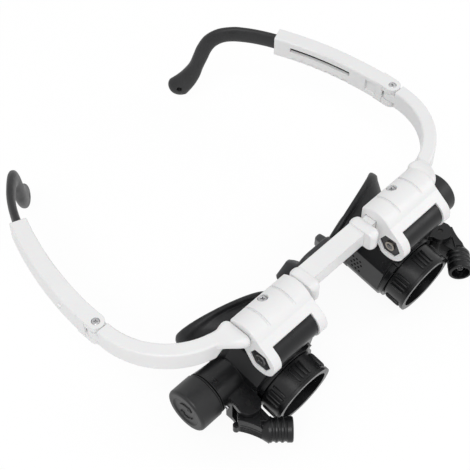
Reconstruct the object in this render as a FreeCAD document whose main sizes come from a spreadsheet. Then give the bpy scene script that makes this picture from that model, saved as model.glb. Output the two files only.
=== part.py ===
import FreeCAD, Part
import Sketcher
import math
import os
import re

# Headband magnifier: a white spectacle frame with two flip-up loupes, each with its own lamp.
# X runs to the wearer's left, Y runs back to the ears and Z is up. Lengths are in millimetres.
# Places are counted from the middle of the front bar's top face, beside the lock screws.
# The left-hand pieces are built and the right-hand ones mirror them.

DRIVING_SIZES = [
    ("origin_setback", 43.24, "lock screws to the middle of the footprint"),
    # front bar
    ("pd_half", 31, "half the distance between the lens centres"),
    ("bridge_width", 6.5, "bridge, front to back"),
    ("bridge_height", 5.8, "bridge, top to bottom"),
    ("bridge_back", 2, "back face of the bridge"),
    ("rail_width", 4.2, "rail that the saddles slide on, front to back"),
    ("rail_height", 6, "rail, top to bottom"),
    ("rail_back", 0.3, "back face of the rail"),
    ("rail_gap", 0.3, "gap between rail and saddle"),
    ("collar_length", 4, "inner stop collar, along the bar"),
    ("collar_reach", 7.8, "front of the collar"),
    ("collar_back", 2.6, "back of the collar"),
    ("collar_rise", 0.9, "top of the collar"),
    ("collar_low", 7.2, "underside of the collar"),
    ("collar_round", 2, "rounding of the collar"),
    ("collar_edge", 0.7, "rounding of the collar's ends"),
    ("knob_reach", 7.4, "front of the outer shoulder"),
    ("knob_length", 9.7, "outer shoulder, along the bar"),
    ("knob_full_length", 3, "part of the shoulder with nearly its full reach"),
    ("knob_blend_length", 6.2, "end of the hollow behind the shoulder"),
    ("knob_blend_reach", 2.4, "front of the bar where the hollow ends"),
    ("knob_rise", 2.3, "top of the outer shoulder"),
    ("knob_low", 1.7, "underside of the outer shoulder"),
    ("knob_round", 1.7, "rounding of the outer shoulder"),
    ("knob_edge", 0.8, "rounding of the shoulder's end"),
    ("undercut_low", 2.4, "underside of the bar beside the shoulder"),
    ("undercut_flat", 4.4, "level part of the undercut, along the bar"),
    ("undercut_length", 8.6, "undercut, along the bar"),
    ("bar_width", 4.9, "side bar, across"),
    ("bar_height", 7.7, "side bar, top to bottom"),
    ("bar_round", 0.7, "rounding along the side bar"),
    ("corner_radius", 27.7, "corner bend, on the middle line"),
    ("corner_across", 43.6, "corner bend centre, outward"),
    ("corner_back", 28.9, "corner bend centre, behind the lock screws"),
    # temple hinge
    ("temple_back", 32.6, "temple hinge screw, behind the lock screws"),
    ("knuckle_radius", 2.9, "temple hinge knuckle"),
    ("knuckle_gap", 0.3, "gap round the temple hinge knuckle"),
    ("leaf_height", 2.1, "one leaf of the temple fork"),
    ("leaf_gap", 0.2, "gap between leaf and tongue"),
    ("temple_screw_radius", 0.9, "temple hinge screw shank"),
    ("temple_head_radius", 1.35, "temple hinge screw head"),
    ("temple_head_height", 0.8, "temple hinge screw head"),
    ("running_gap", 0.05, "gap round a turning shaft"),
    # saddle that carries a loupe
    ("window_length", 17.6, "gap between the saddle's ears"),
    ("ear_thickness", 3.4, "one ear of the saddle"),
    ("ear_radius", 6, "round end of an ear"),
    ("saddle_back", 2.1, "back face of the saddle"),
    ("saddle_low", 7.4, "underside of the saddle"),
    ("crown_radius", 9, "curve over the top of the saddle"),
    ("crown_front", 3.7, "middle of the crown's curve, forward"),
    ("crown_drop", 4.5, "middle of the crown's curve, down"),
    ("brow_front", 9.8, "saddle's brow, forward"),
    ("brow_rise", 1, "saddle's brow, up"),
    ("window_edge", 12.4, "front edge of the roof over the hinge barrel"),
    ("saddle_round", 0.5, "rounding of the saddle's end faces"),
    ("slide_in", 2.2, "travel of a saddle towards the nose"),
    ("slide_out", 0.2, "travel of a saddle away from the nose"),
    ("stop_gap", 0.2, "gap left at the end of a travel"),
    ("groove_width", 0.7, "finger groove over the saddle"),
    ("groove_depth", 0.45, "finger groove over the saddle"),
    ("groove_spacing", 11.2, "distance between the two grooves"),
    ("lock_head_radius", 1.65, "lock screw head"),
    ("lock_head_height", 1.1, "lock screw head"),
    ("lock_head_top", 3.1, "top of the lock screw"),
    ("lock_shank_radius", 1, "lock screw shank"),
    ("lock_tip", 0.1, "tip of the backed-off lock screw above the rail"),
    # flip-up hinge of a loupe
    ("hinge_front", 10.6, "loupe hinge, in front of the lock screw"),
    ("hinge_drop", 7, "loupe hinge, below the bar's top"),
    ("barrel_radius", 5.5, "hinge barrel of the loupe"),
    ("barrel_gap", 0.35, "gap between barrel and saddle"),
    ("barrel_half", 8.5, "hinge barrel, from its middle to its end"),
    ("hex_half", 3.7, "hexagon bush, from its middle to a flat"),
    ("hex_gap", 0.1, "gap round the hexagon bush"),
    ("hex_height", 1.5, "hexagon bush, head"),
    ("hex_sink", 0.5, "hexagon bush below the ear's face"),
    ("bush_radius", 2.6, "hexagon bush, neck"),
    ("bush_reach", 2.2, "neck of the bush inside the barrel"),
    ("hinge_screw_radius", 1.1, "hinge screw shank"),
    ("hinge_head_radius", 2.1, "hinge screw head"),
    ("hinge_nut_radius", 1.8, "hinge screw nut"),
    ("hinge_head_height", 0.5, "hinge screw head and nut"),
    # loupe, placed by the middle of its front lip
    ("loupe_pitch", 10, "droop of the line of sight, in degrees"),
    ("lip_front", 19.2, "front lip, in front of the lock screw"),
    ("lip_drop", 32, "front lip, below the bar's top"),
    ("lip_radius", 11.7, "front lip"),
    ("lip_length", 1.1, "front lip, front to back"),
    ("grip_radius", 11.2, "grip of the lens barrel"),
    ("grip_end", 8.4, "back of the grip, behind the lip"),
    ("spigot_radius", 10.3, "spigot of the lens barrel"),
    ("spigot_end", 13, "back of the spigot, behind the lip"),
    ("spigot_gap", 0.08, "gap round the spigot"),
    ("mouth_radius", 9.7, "mouth of the lens barrel"),
    ("seat_radius", 8.6, "clear hole behind a lens"),
    ("front_lens_place", 8.25, "edge of the front lens, behind the lip"),
    ("front_lens_radius", 9.6, "front lens"),
    ("rear_lens_place", 22.6, "edge of the rear lens, behind the lip"),
    ("rear_lens_radius", 9.2, "rear lens"),
    ("lens_edge", 1.4, "edge of a lens"),
    ("lens_bulge", 0.8, "bulge of a lens face"),
    ("lens_gap", 0.2, "gap beside a lens"),
    ("lens_ring_width", 0.9, "ring that holds a lens"),
    ("lens_ring_length", 1, "ring that holds a lens"),
    ("rib_groups", 6, "groups of grip ribs round the barrel"),
    ("rib_pitch", 8, "angle between grip ribs, in degrees"),
    ("rib_width", 0.7, "grip rib"),
    ("rib_rise", 0.35, "grip rib above the barrel"),
    ("rib_start", 2, "front of a grip rib, behind the lip"),
    ("rib_length", 5.4, "grip rib"),
    ("step_radius", 12.4, "step ring of the loupe body"),
    ("step_start", 8.6, "front of the step ring, behind the lip"),
    ("step_length", 1.7, "step ring"),
    ("nub_width", 2.6, "nub on the step ring"),
    ("nub_rise", 1.5, "nub above the step ring"),
    ("nub_turn", 45, "nub, from the top towards the nose, in degrees"),
    ("tube_radius", 13, "loupe body tube"),
    ("tube_end", 24.6, "back of the loupe body, behind the lip"),
    ("inner_radius", 9.4, "bore between the lenses"),
    ("tail_radius", 12, "tail that holds the eyecup"),
    ("tail_length", 2.6, "tail that holds the eyecup"),
    ("block_half", 9.7, "flat top of the body, from its middle"),
    ("block_top", 14, "flat top of the body, above the line of sight"),
    ("block_shoulder", 8.5, "side of the body, above the line of sight"),
    ("block_side", 13.2, "side of the body, from the line of sight"),
    ("block_low", 2, "side of the body, below the line of sight"),
    ("body_round", 0.7, "rounding of the body's corners"),
    ("web_front", 9.5, "neck under the hinge barrel, front"),
    ("web_back", 17.5, "neck under the hinge barrel, back"),
    # battery tube on the outer side
    ("battery_back", 21.5, "battery tube, behind the lip"),
    ("battery_rise", 1.4, "battery tube, above the line of sight"),
    ("battery_root", 13.6, "root of the battery tube, outward"),
    ("battery_root_radius", 7, "battery tube at its root"),
    ("battery_mouth", 23.4, "mouth of the battery tube, outward"),
    ("battery_mouth_radius", 7.7, "battery tube at its mouth"),
    ("battery_waist", 70, "hollow curve along the battery tube"),
    ("battery_floor", 14.4, "floor of the battery tube, outward"),
    ("battery_bore", 6, "bore of the battery tube"),
    ("mouth_neck_radius", 6.85, "neck that the battery cap turns on"),
    ("mouth_neck_length", 4, "neck that the battery cap turns on"),
    ("contact_radius", 4.6, "contact disc"),
    ("contact_thickness", 0.4, "contact disc"),
    ("cell_radius", 5.8, "button cell"),
    ("cell_height", 3.05, "button cell"),
    ("cell_step_radius", 5, "raised face of a button cell"),
    ("cell_step", 0.3, "raised face of a button cell"),
    ("cell_gap", 0.1, "gap between cells"),
    ("seal_radius", 0.55, "seal ring, section"),
    ("seal_gap", 0.05, "gap beside the seal ring"),
    ("cap_radius", 8, "battery cap"),
    ("cap_length", 8.5, "battery cap"),
    ("cap_wall", 1.5, "end wall of the cap"),
    ("cap_gap", 0.1, "gap between cap and neck"),
    ("cap_round", 1.1, "rounding of the cap's end"),
    ("cap_dish_radius", 5.6, "dish in the cap's end"),
    ("cap_dish_depth", 0.4, "dish in the cap's end"),
    ("cup_thickness", 0.3, "sprung contact cup in the cap"),
    ("cup_tip_radius", 2.4, "sprung contact cup, narrow end"),
    # lamp on its lug
    ("lamp_across", 17.6, "lamp pin, outward from the line of sight"),
    ("lamp_front", 11.1, "lamp pin, in front of the lock screw"),
    ("lug_top", 25, "top of the lug below the bar's top"),
    ("lug_plate", 2.1, "one plate of the lug"),
    ("lug_height", 11.6, "lug, top to bottom"),
    ("lug_radius", 4.1, "round end of the lug"),
    ("lug_outer", 3.2, "outer side of the lug's root"),
    ("lug_inner", 6.6, "inner side of the lug's root"),
    ("lug_shoulder", 3, "front of the ledge beside the lug"),
    ("lug_wall", 4.1, "front of the wall between the plates"),
    ("lug_root", 6.8, "back of the lug"),
    ("lug_gap", 0.2, "gap between plate and lamp holder"),
    ("lamp_pin_radius", 0.8, "lamp pin"),
    ("lamp_pin_sink", 0.3, "lamp pin below the lug's top"),
    ("holder_radius", 3.7, "eye of the lamp holder"),
    ("lamp_level", 31.1, "middle of the lamp below the bar's top"),
    ("lamp_heading", 45, "lamp turned inward from straight ahead, in degrees"),
    ("lamp_offset", 6.2, "middle line of the lamp, from the pin"),
    ("lamp_start", 6.2, "back of the lamp barrel, in front of the pin"),
    ("lamp_length", 7.9, "lamp barrel"),
    ("lamp_radius", 4.2, "lamp barrel"),
    ("lamp_round", 0.6, "rounding of the lamp's front"),
    ("lamp_cone_length", 2.2, "cone behind the lamp barrel"),
    ("lamp_cone_radius", 3, "narrow end of the cone behind the lamp"),
    ("lamp_ring_depth", 0.4, "ring groove on the lamp"),
    ("lamp_ring_width", 0.7, "ring groove on the lamp"),
    ("lamp_ring_pitch", 1.9, "distance between ring grooves"),
    ("lamp_ring_start", 2.2, "first ring groove, behind the lamp's front"),
    ("lamp_bore", 3.1, "bore of the lamp barrel"),
    ("lamp_bore_depth", 7.2, "bore of the lamp barrel"),
    ("fan_side", 6.8, "side of the holder's fan, in front of the pin"),
    ("fan_start", 3.9, "start of the fan's side, from the pin"),
    ("fan_end", 9.9, "end of the fan's side, from the pin"),
    ("fan_recess", 0.6, "recess in the top of the fan"),
    ("bulb_radius", 2.45, "lamp bulb"),
    ("bulb_flange", 2.9, "lamp bulb flange"),
    ("bulb_flange_length", 1, "lamp bulb flange"),
    ("bulb_length", 5.9, "lamp bulb"),
    ("bulb_gap", 0.1, "gap behind the bulb"),
    ("tab_radius", 22, "hollow curve of the finger tab"),
    ("tab_tail", 3.4, "tail of the finger tab, behind the pin"),
    ("tab_tail_offset", 4.9, "tail of the finger tab, from the pin"),
    ("tab_tail_width", 1.7, "tail of the finger tab, across"),
    ("tab_corner", 3.6, "start of the finger tab's round corner, in front of the pin"),
    ("tab_corner_radius", 8, "round corner of the finger tab"),
    ("tab_corner_slip", 0.4, "foot of the round corner short of the fan's side"),
    ("tab_bead", 1.1, "nub at the tail of the finger tab"),
    ("tab_bead_height", 3, "nub at the tail of the finger tab"),
    ("plunger_across", 22, "contact plunger, outward from the line of sight"),
    ("plunger_radius", 0.65, "contact plunger"),
    ("plunger_tip", 13, "tip of the contact plunger, behind the lip"),
    ("plunger_length", 2.7, "contact plunger"),
    # eyecup
    ("eyecup_wall", 1.2, "eyecup"),
    ("eyecup_fit", 0.02, "fit of the eyecup on the tail"),
    ("eyecup_waist_back", 30.2, "waist of the eyecup, behind the lip"),
    ("eyecup_waist_radius", 13.1, "waist of the eyecup"),
    ("rim_half_width", 18, "eyecup rim, half of its width"),
    ("rim_half_height", 11.6, "eyecup rim, half of its height"),
    ("rim_across", 0.5, "middle of the rim, outward"),
    ("rim_back", 37.7, "middle of the rim, behind the lip"),
    ("rim_rise", 2.3, "middle of the rim, above the line of sight"),
    ("rim_turn", 15, "rim turned outward, in degrees"),
    ("rim_lean", 7.3, "rim leaned forward at its top, in degrees"),
    # temple arm
    ("arm_radius", 132.7, "bow of the temple arm, on its middle line"),
    ("arm_end", 21.2, "end of the temple arm, in degrees of its bow"),
    ("arm_width", 6, "temple arm, across"),
    ("fork_root", 1, "root of the arm's fork, in degrees"),
    ("arm_height", 8.4, "temple arm, top to bottom"),
    ("arm_round", 0.7, "rounding along the temple arm"),
    ("arm_wall", 1.3, "side wall of the temple arm"),
    ("arm_roof", 1.5, "top and bottom walls of the temple arm"),
    ("channel_start", 6.6, "closed end of the channel, in degrees"),
    ("slot_start", 7.4, "window in the arm, in degrees"),
    ("slot_end", 18.4, "window in the arm, in degrees"),
    ("slot_top", 2.4, "top of the window below the arm's top"),
    ("slot_height", 1.9, "window in the arm"),
    ("notch_count", 7, "notches under the window"),
    ("notch_radius", 1.5, "notch"),
    ("notch_depth", 0.5, "notch"),
    ("recess_start", 2.2, "recess in the arm, in degrees"),
    ("recess_end", 4.3, "recess in the arm, in degrees"),
    ("recess_depth", 1, "recess in the arm"),
    ("recess_top", 1.7, "recess, from the arm's top and bottom"),
    ("button_place", 6.4, "button outside the arm, in degrees"),
    ("button_radius", 0.9, "button outside the arm"),
    ("button_rise", 0.7, "button outside the arm"),
    # sliding ear tip
    ("core_gap", 0.12, "gap round the core in the arm"),
    ("core_start", 7.6, "inner end of the core, in degrees"),
    ("core_end", 25, "outer end of the core inside the tip, in degrees"),
    ("tang_thickness", 1.6, "core inside the tip"),
    ("tang_height", 3, "core inside the tip"),
    ("tip_start_gap", 0.1, "gap between arm and ear tip, in degrees"),
    ("tip_travel", 5.4, "travel of the ear tip, in degrees"),
    ("tip_level", 4.3, "middle of the ear tip below the arm's top"),
    ("tip_tall", 6.6, "ear tip where it leaves the arm"),
    ("tip_thick", 4, "ear tip where it leaves the arm"),
    ("tip_first_length", 9, "ear tip, first straight stretch"),
    ("tip_second_length", 8, "ear tip, second straight stretch"),
    ("tip_first_turn", 8, "inward turn after the first stretch, in degrees"),
    ("tip_second_turn", 12.4, "inward turn after the second stretch, in degrees"),
    ("hook_radius", 11.5, "bend of the hook, on its middle line"),
    ("hook_dive", 70, "dive of the hook, in degrees"),
    ("neck_length", 14.5, "straight neck below the bend"),
    ("neck_tall", 4.6, "neck of the hook"),
    ("neck_thick", 4.2, "neck of the hook"),
    ("toe_turn", 24, "bend back of the hook's toe, in degrees"),
    ("toe_length", 11, "flared toe of the hook"),
    ("toe_tall", 9.2, "toe of the hook at its widest"),
    ("toe_thick", 4.8, "toe of the hook at its widest"),
    ("toe_end_length", 1.4, "rounded end of the toe"),
    ("cord_hole_radius", 1.1, "hole for a neck cord"),
    ("cord_hole_inset", 4.6, "hole for a neck cord, from the end"),
    # nose pad
    ("pad_gap", 0.05, "gap between bridge and nose pad"),
    ("pad_top", 4, "top of the nose pad below the bar's top"),
    ("pad_half", 7.5, "nose pad, half of its width at the top"),
    ("pad_spread", 11.5, "nose pad, half of its width at its feet"),
    ("pad_fall", 16.5, "fall of the nose pad"),
    ("pad_wall", 3, "nose pad"),
    ("pad_round", 4, "outer corner of the nose pad"),
    ("pad_arch_depth", 3.4, "arch of the nose pad, front to back"),
    ("pad_foot_depth", 7, "foot of the nose pad, front to back"),
    ("pad_foot_top", 6.5, "top of the foot below the pad's top"),
    ("pad_lean", 16, "lean of the nose pad, in degrees"),
    ("plug_half", 3.4, "plug under the bridge, half of its length"),
    ("plug_thickness", 2, "plug under the bridge"),
    ("plug_height", 2.4, "plug inside the bridge"),
    ("plug_foot", 2.2, "strip that joins plug and pad"),
    ("overrun", 1, "how far a cut runs past what it cuts"),
]

LEFT_TURN = 1
RIGHT_TURN = -1
FULL_TURN = 360
HEX_SIDES = 6
BEND_STEPS = 3
RIBS_IN_GROUP = 4
LAMP_RINGS = 3
CELLS = 3

doc = FreeCAD.newDocument("headband_magnifier")


def make_sheet():
    """One row for each driving size, with its alias and what it measures."""
    sheet = doc.addObject("Spreadsheet::Sheet", "sizes")
    for row, (alias, size, note) in enumerate(DRIVING_SIZES, start=1):
        sheet.set(f"A{row}", str(size))
        sheet.set(f"B{row}", note)
        sheet.setAlias(f"A{row}", alias)
    doc.recompute()
    return sheet


SHEET = make_sheet()
ALIASES = {alias for alias, _, _ in DRIVING_SIZES}


def formula(text):
    """The sheet expression for a formula written in plain size names."""
    return re.sub(r"[a-z]\w+", lambda found: "sizes." + found[0] if found[0] in ALIASES else found[0], str(text))


def number(text):
    """The value that a formula has now."""
    return float(SHEET.evalExpression(formula(text)))


def bind(target, prop, text):
    target.setExpression(prop, formula(text))


def move(across="0", back="0", up="0", turn="0", axis="0; 0; 1"):
    """A placement formula."""
    return f"placement(vector({across}; {back}; {up}); rotation(vector({axis}); {turn}))"


# axes for a turn, as vectors
ACROSS = "1; 0; 0"
BACK = "0; 1; 0"
UPWARD = "0; 0; 1"

# places and lengths that several pieces share
SIGHT_DROP = "(lip_drop + lip_radius * cos(loupe_pitch))"
AT_BAR = move("0", "-origin_setback", SIGHT_DROP)
SIGHT = move("pd_half", "-lip_front", "-lip_drop", "loupe_pitch", ACROSS)
TO_RIGHT = move(turn="-90")
UPRIGHT = move(turn="90", axis=ACROSS)
SADDLE_IN = "(pd_half - window_length / 2 - ear_thickness)"
SADDLE_OUT = "(pd_half + window_length / 2 + ear_thickness)"
COLLAR_OUT = f"({SADDLE_IN} - slide_in - stop_gap)"
KNOB_IN = f"({SADDLE_OUT} + slide_out + stop_gap)"
HINGE_ACROSS = "(corner_across + corner_radius)"
SHOULDER_END = "(temple_back - knuckle_radius - knuckle_gap)"
EAR_FACE = "(window_length / 2 + ear_thickness)"
BARREL_BACK = "((lip_front - hinge_front) * cos(loupe_pitch) + (lip_drop - hinge_drop) * sin(loupe_pitch))"
BARREL_UP = "((lip_drop - hinge_drop) * cos(loupe_pitch) - (lip_front - hinge_front) * sin(loupe_pitch))"
LUG_BACK = "((lip_front - lamp_front) * cos(loupe_pitch) + (lip_drop - lug_top) * sin(loupe_pitch))"
LUG_UP = "((lip_drop - lug_top) * cos(loupe_pitch) - (lip_front - lamp_front) * sin(loupe_pitch))"
BATTERY_AXIS = f"{move('0', 'battery_back', 'battery_rise')} * {TO_RIGHT}"
CAP_START = "(battery_mouth + 2 * seal_radius + 2 * seal_gap)"
CELL_START = "(battery_floor + contact_thickness + 2 * cell_gap)"
CELLS_END = f"({CELL_START} + {CELLS} * (cell_height + cell_gap))"
LAMP_PLACE = (f"{move('pd_half + lamp_across', '-lamp_front', '-lamp_level')}"
              f" * {move(turn='180 + lamp_heading')}")
LAMP_AXIS = f"{LAMP_PLACE} * {move('lamp_start', 'lamp_offset')} * {TO_RIGHT}"
ARM_PLACE = move(f"{HINGE_ACROSS} - arm_radius", "temple_back")
ARM_INNER = "(arm_radius - arm_width / 2)"
ARM_OUTER = "(arm_radius + arm_width / 2)"


def new_body(label, *places):
    """A body placed by a chain of placement formulas that starts at the bar."""
    body = doc.addObject("PartDesign::Body", label)
    body.Label = label
    bind(body, "Placement", " * ".join((AT_BAR,) + places))
    return body


def new_part(kind, label, *places):
    """A Part object placed by a chain of placement formulas that starts at the bar."""
    part = doc.addObject(f"Part::{kind}", label)
    part.Label = label
    if places:
        bind(part, "Placement", " * ".join((AT_BAR,) + places))
    return part


def origin_feature(body, role):
    return next(feature for feature in body.Origin.OriginFeatures if feature.Role == role)


def sketch_on(body, plane, offset="0", *places):
    """A sketch on one of the body's planes, moved along its normal and then by more placements."""
    sketch = body.newObject("Sketcher::SketchObject", f"{body.Name}_sketch")
    sketch.AttachmentSupport = (origin_feature(body, plane), [""])
    sketch.MapMode = "FlatFace"
    bind(sketch, "AttachmentOffset", " * ".join((move(up=offset),) + places))
    return sketch


def tie(sketch, kind, members, text):
    """Add a dimension and hold it to a formula."""
    place = sketch.addConstraint(Sketcher.Constraint(kind, *members, number(text)))
    bind(sketch, f"Constraints[{place}]", text)


def tie_point(sketch, edge, end, across, up):
    tie(sketch, "DistanceX", (-1, 1, edge, end), across)
    tie(sketch, "DistanceY", (-1, 1, edge, end), up)


def arc_between(start, end, radius, turn):
    """The shorter arc from start to end that turns left or right."""
    chord = end - start
    to_left = FreeCAD.Vector(-chord.y, chord.x, 0).normalize()
    rise = math.sqrt(max(radius ** 2 - (chord.Length / 2) ** 2, 0))
    ring = Part.Circle((start + end) * 0.5 + to_left * (rise * turn), FreeCAD.Vector(0, 0, 1), radius)
    first, last = (start, end) if turn == LEFT_TURN else (end, start)
    return Part.ArcOfCircle(ring, ring.parameter(first), ring.parameter(last))


def outline(sketch, corners):
    """A closed ring. A corner is (across, up), with a radius and a turn where an arc leads to it."""
    points = [FreeCAD.Vector(number(corner[0]), number(corner[1]), 0) for corner in corners]
    ends = []
    for place, corner in enumerate(corners):
        if len(corner) == 2:
            edge = sketch.addGeometry(Part.LineSegment(points[place - 1], points[place]))
        else:
            edge = sketch.addGeometry(arc_between(points[place - 1], points[place], number(corner[2]), corner[3]))
        backwards = len(corner) > 2 and corner[3] == RIGHT_TURN
        ends.append((edge, 2, 1) if backwards else (edge, 1, 2))
    for place, corner in enumerate(corners):
        edge, _, end = ends[place]
        following, start, _ = ends[(place + 1) % len(corners)]
        sketch.addConstraint(Sketcher.Constraint("Coincident", edge, end, following, start))
        tie_point(sketch, edge, end, corner[0], corner[1])
        if len(corner) > 2:
            tie(sketch, "Radius", (edge,), corner[2])
    return sketch


def circle(sketch, across, up, radius):
    centre = FreeCAD.Vector(number(across), number(up), 0)
    edge = sketch.addGeometry(Part.Circle(centre, FreeCAD.Vector(0, 0, 1), number(radius)))
    tie_point(sketch, edge, 3, across, up)
    tie(sketch, "Radius", (edge,), radius)
    return sketch


def rectangle(sketch, left, low, right, high):
    return outline(sketch, [(left, low), (right, low), (right, high), (left, high)])


def rounded_rectangle(sketch, left, low, right, high, rounding):
    """A rectangle with four equal round corners."""
    return outline(sketch, [
        (f"{right} - ({rounding})", low),
        (right, f"{low} + {rounding}", rounding, LEFT_TURN),
        (right, f"{high} - ({rounding})"),
        (f"{right} - ({rounding})", high, rounding, LEFT_TURN),
        (f"{left} + {rounding}", high),
        (left, f"{high} - ({rounding})", rounding, LEFT_TURN),
        (left, f"{low} + {rounding}"),
        (f"{left} + {rounding}", low, rounding, LEFT_TURN),
    ])


def hexagon(sketch, across, up, half):
    """A hexagon with level flats."""
    reach = f"({half} / cos({FULL_TURN / HEX_SIDES / 2}))"
    turns = [FULL_TURN / HEX_SIDES * side for side in range(HEX_SIDES)]
    return outline(sketch, [(f"{across} + {reach} * cos({turn})", f"{up} + {reach} * sin({turn})") for turn in turns])


def band(sketch, inner, outer, first, last):
    """A band between two radii about the sketch's origin, from one angle to another."""
    return outline(sketch, [
        (f"({outer}) * cos({first})", f"({outer}) * sin({first})"),
        (f"({outer}) * cos({last})", f"({outer}) * sin({last})", outer, LEFT_TURN),
        (f"({inner}) * cos({last})", f"({inner}) * sin({last})"),
        (f"({inner}) * cos({first})", f"({inner}) * sin({first})", inner, RIGHT_TURN),
    ])


def extrude(body, kind, sketch, length, backwards):
    feature = body.newObject(f"PartDesign::{kind}", f"{body.Name}_{kind}")
    feature.Profile = sketch
    feature.Type = "Length"
    bind(feature, "Length", length)
    feature.Reversed = backwards
    sketch.Visibility = False
    return feature


def pad(body, sketch, length, backwards=False):
    """Grow a sketch along its normal, or against it."""
    return extrude(body, "Pad", sketch, length, backwards)


def pocket(body, sketch, length, along=False):
    """Cut a sketch against its normal, or along it. The cut has to remove something."""
    doc.recompute()
    before = body.Shape.Volume
    feature = extrude(body, "Pocket", sketch, length, along)
    doc.recompute()
    if body.Shape.Volume > before * (1 - 1e-6):
        raise ValueError(f"{feature.Name} cuts nothing")
    return feature


def spin(body, kind, sketch):
    """Revolve or groove a sketch about its vertical axis."""
    feature = body.newObject(f"PartDesign::{kind}", f"{body.Name}_{kind}")
    feature.Profile = sketch
    feature.ReferenceAxis = (sketch, ["V_Axis"])
    feature.Angle = FULL_TURN
    return feature


def turned(label, corners, *places):
    """A turned piece about the body's Y axis. A corner is (radius, place along the axis)."""
    body = new_body(label, *places)
    spin(body, "Revolution", outline(sketch_on(body, "XY_Plane"), corners))
    return body


def round_edges(body, radius, wanted):
    """Fillet the edges that a test picks by their boxes."""
    doc.recompute()
    base = body.Tip
    names = [f"Edge{place}" for place, edge in enumerate(base.Shape.Edges, start=1) if wanted(edge.BoundBox)]
    feature = body.newObject("PartDesign::Fillet", f"{body.Name}_fillet")
    feature.Base = (base, names)
    bind(feature, "Radius", radius)
    doc.recompute()
    return feature


def repeat_round(body, feature, axis, angle, count):
    """Repeat a feature about one of the body's axes, over an angle in all."""
    pattern = body.newObject("PartDesign::PolarPattern", f"{body.Name}_pattern")
    pattern.Originals = [feature]
    pattern.Axis = (origin_feature(body, axis), [""])
    bind(pattern, "Angle", angle)
    bind(pattern, "Occurrences", count)
    body.Tip = pattern
    return pattern


def lies_at(low, high, level):
    """True where an edge's range is flat at a level."""
    slack = 0.01
    return abs(low - level) < slack and abs(high - level) < slack


# front frame, the root of the assembly

def front_frame():
    """Bridge, rails, stop collars, shoulders and bent side bars in one white moulding."""
    half = new_body("half_frame")
    side_bar(half)
    temple_tongue(half)
    straight_bar(half, "bridge_back - bridge_width", "-bridge_height", "bridge_back",
                 f"{COLLAR_OUT} - collar_length / 2")
    straight_bar(half, "rail_back - rail_width", "-rail_height", "rail_back", f"{KNOB_IN} + knob_full_length")
    undercut(half)
    collar(half)
    shoulder(half)
    hole = circle(sketch_on(half, "XY_Plane", "overrun"),
                  HINGE_ACROSS, "temple_back", "temple_screw_radius + running_gap")
    pocket(half, hole, "bar_height + 2 * overrun")
    pad_socket(half)
    frame = new_part("Fuse", "front_frame")
    frame.Base = half
    frame.Tool = mirror_of(half, "other_half_frame")
    frame.Refine = True
    return frame


def straight_bar(body, front, low, back, end):
    """A straight stretch of the bar from the middle out to an end."""
    pad(body, rectangle(sketch_on(body, "YZ_Plane"), front, low, back, "0"), end)


def swelling(body, label, sections):
    """Loft along the bar. A section is (place, front, low, back, top, rounding)."""
    sketches = [rounded_rectangle(sketch_on(body, "YZ_Plane", place), *sides) for place, *sides in sections]
    loft = body.newObject("PartDesign::AdditiveLoft", label)
    loft.Profile = sketches[0]
    loft.Sections = sketches[1:]


def collar(body):
    """Collar with round ends that stops the saddle on its way to the nose."""
    whole = ("-collar_reach", "-collar_low", "collar_back", "collar_rise", "collar_round")
    face = ("-collar_reach + collar_edge", "-collar_low + collar_edge", "collar_back - collar_edge",
            "collar_rise - collar_edge / 2", "collar_round - collar_edge")
    start = f"({COLLAR_OUT} - collar_length)"
    swelling(body, "collar", [
        (start, *face),
        (f"{start} + collar_edge", *whole),
        (f"{COLLAR_OUT} - collar_edge", *whole),
        (COLLAR_OUT, *face),
    ])


def undercut(body):
    """Room under the bar for the battery tube of a loupe that is flipped up."""
    sketch = outline(sketch_on(body, "XZ_Plane", "knob_reach + overrun"), [
        (KNOB_IN, "-bar_height - overrun"),
        (f"{KNOB_IN} + undercut_length", "-bar_height - overrun"),
        (f"{KNOB_IN} + undercut_length", "-bar_height"),
        (f"{KNOB_IN} + undercut_flat", "-undercut_low"),
        (KNOB_IN, "-undercut_low"),
    ])
    pocket(body, sketch, "2 * (knob_reach + overrun)")


def shoulder(body):
    """Outer shoulder: the bar swells forward beside the saddle and stops it on its way out."""
    bar_middle = "(corner_back - sqrt(pow(corner_radius; 2) - pow(knob_length; 2)))"
    full_back = "corner_back - corner_radius + bar_width / 2"
    swelling(body, "shoulder", [
        (KNOB_IN, "-knob_reach + knob_edge", "-knob_low + knob_edge / 2", f"{full_back} - knob_edge",
         "knob_rise - knob_edge / 2", "knob_round - knob_edge / 2"),
        (f"{KNOB_IN} + knob_edge", "-knob_reach", "-knob_low", full_back, "knob_rise", "knob_round"),
        (f"{KNOB_IN} + knob_full_length", "-knob_reach + knob_edge", "-knob_low", full_back, "knob_rise", "knob_round"),
        (f"{KNOB_IN} + knob_blend_length", "-knob_blend_reach", "-undercut_low", f"{full_back} + stop_gap",
         "knob_rise / 3", "knob_round - knob_edge"),
        (f"{KNOB_IN} + knob_length", f"{bar_middle} - bar_width / 3", "-undercut_low", f"{bar_middle} + bar_width / 3",
         "-stop_gap", "knob_round - knob_edge"),
    ])


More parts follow.
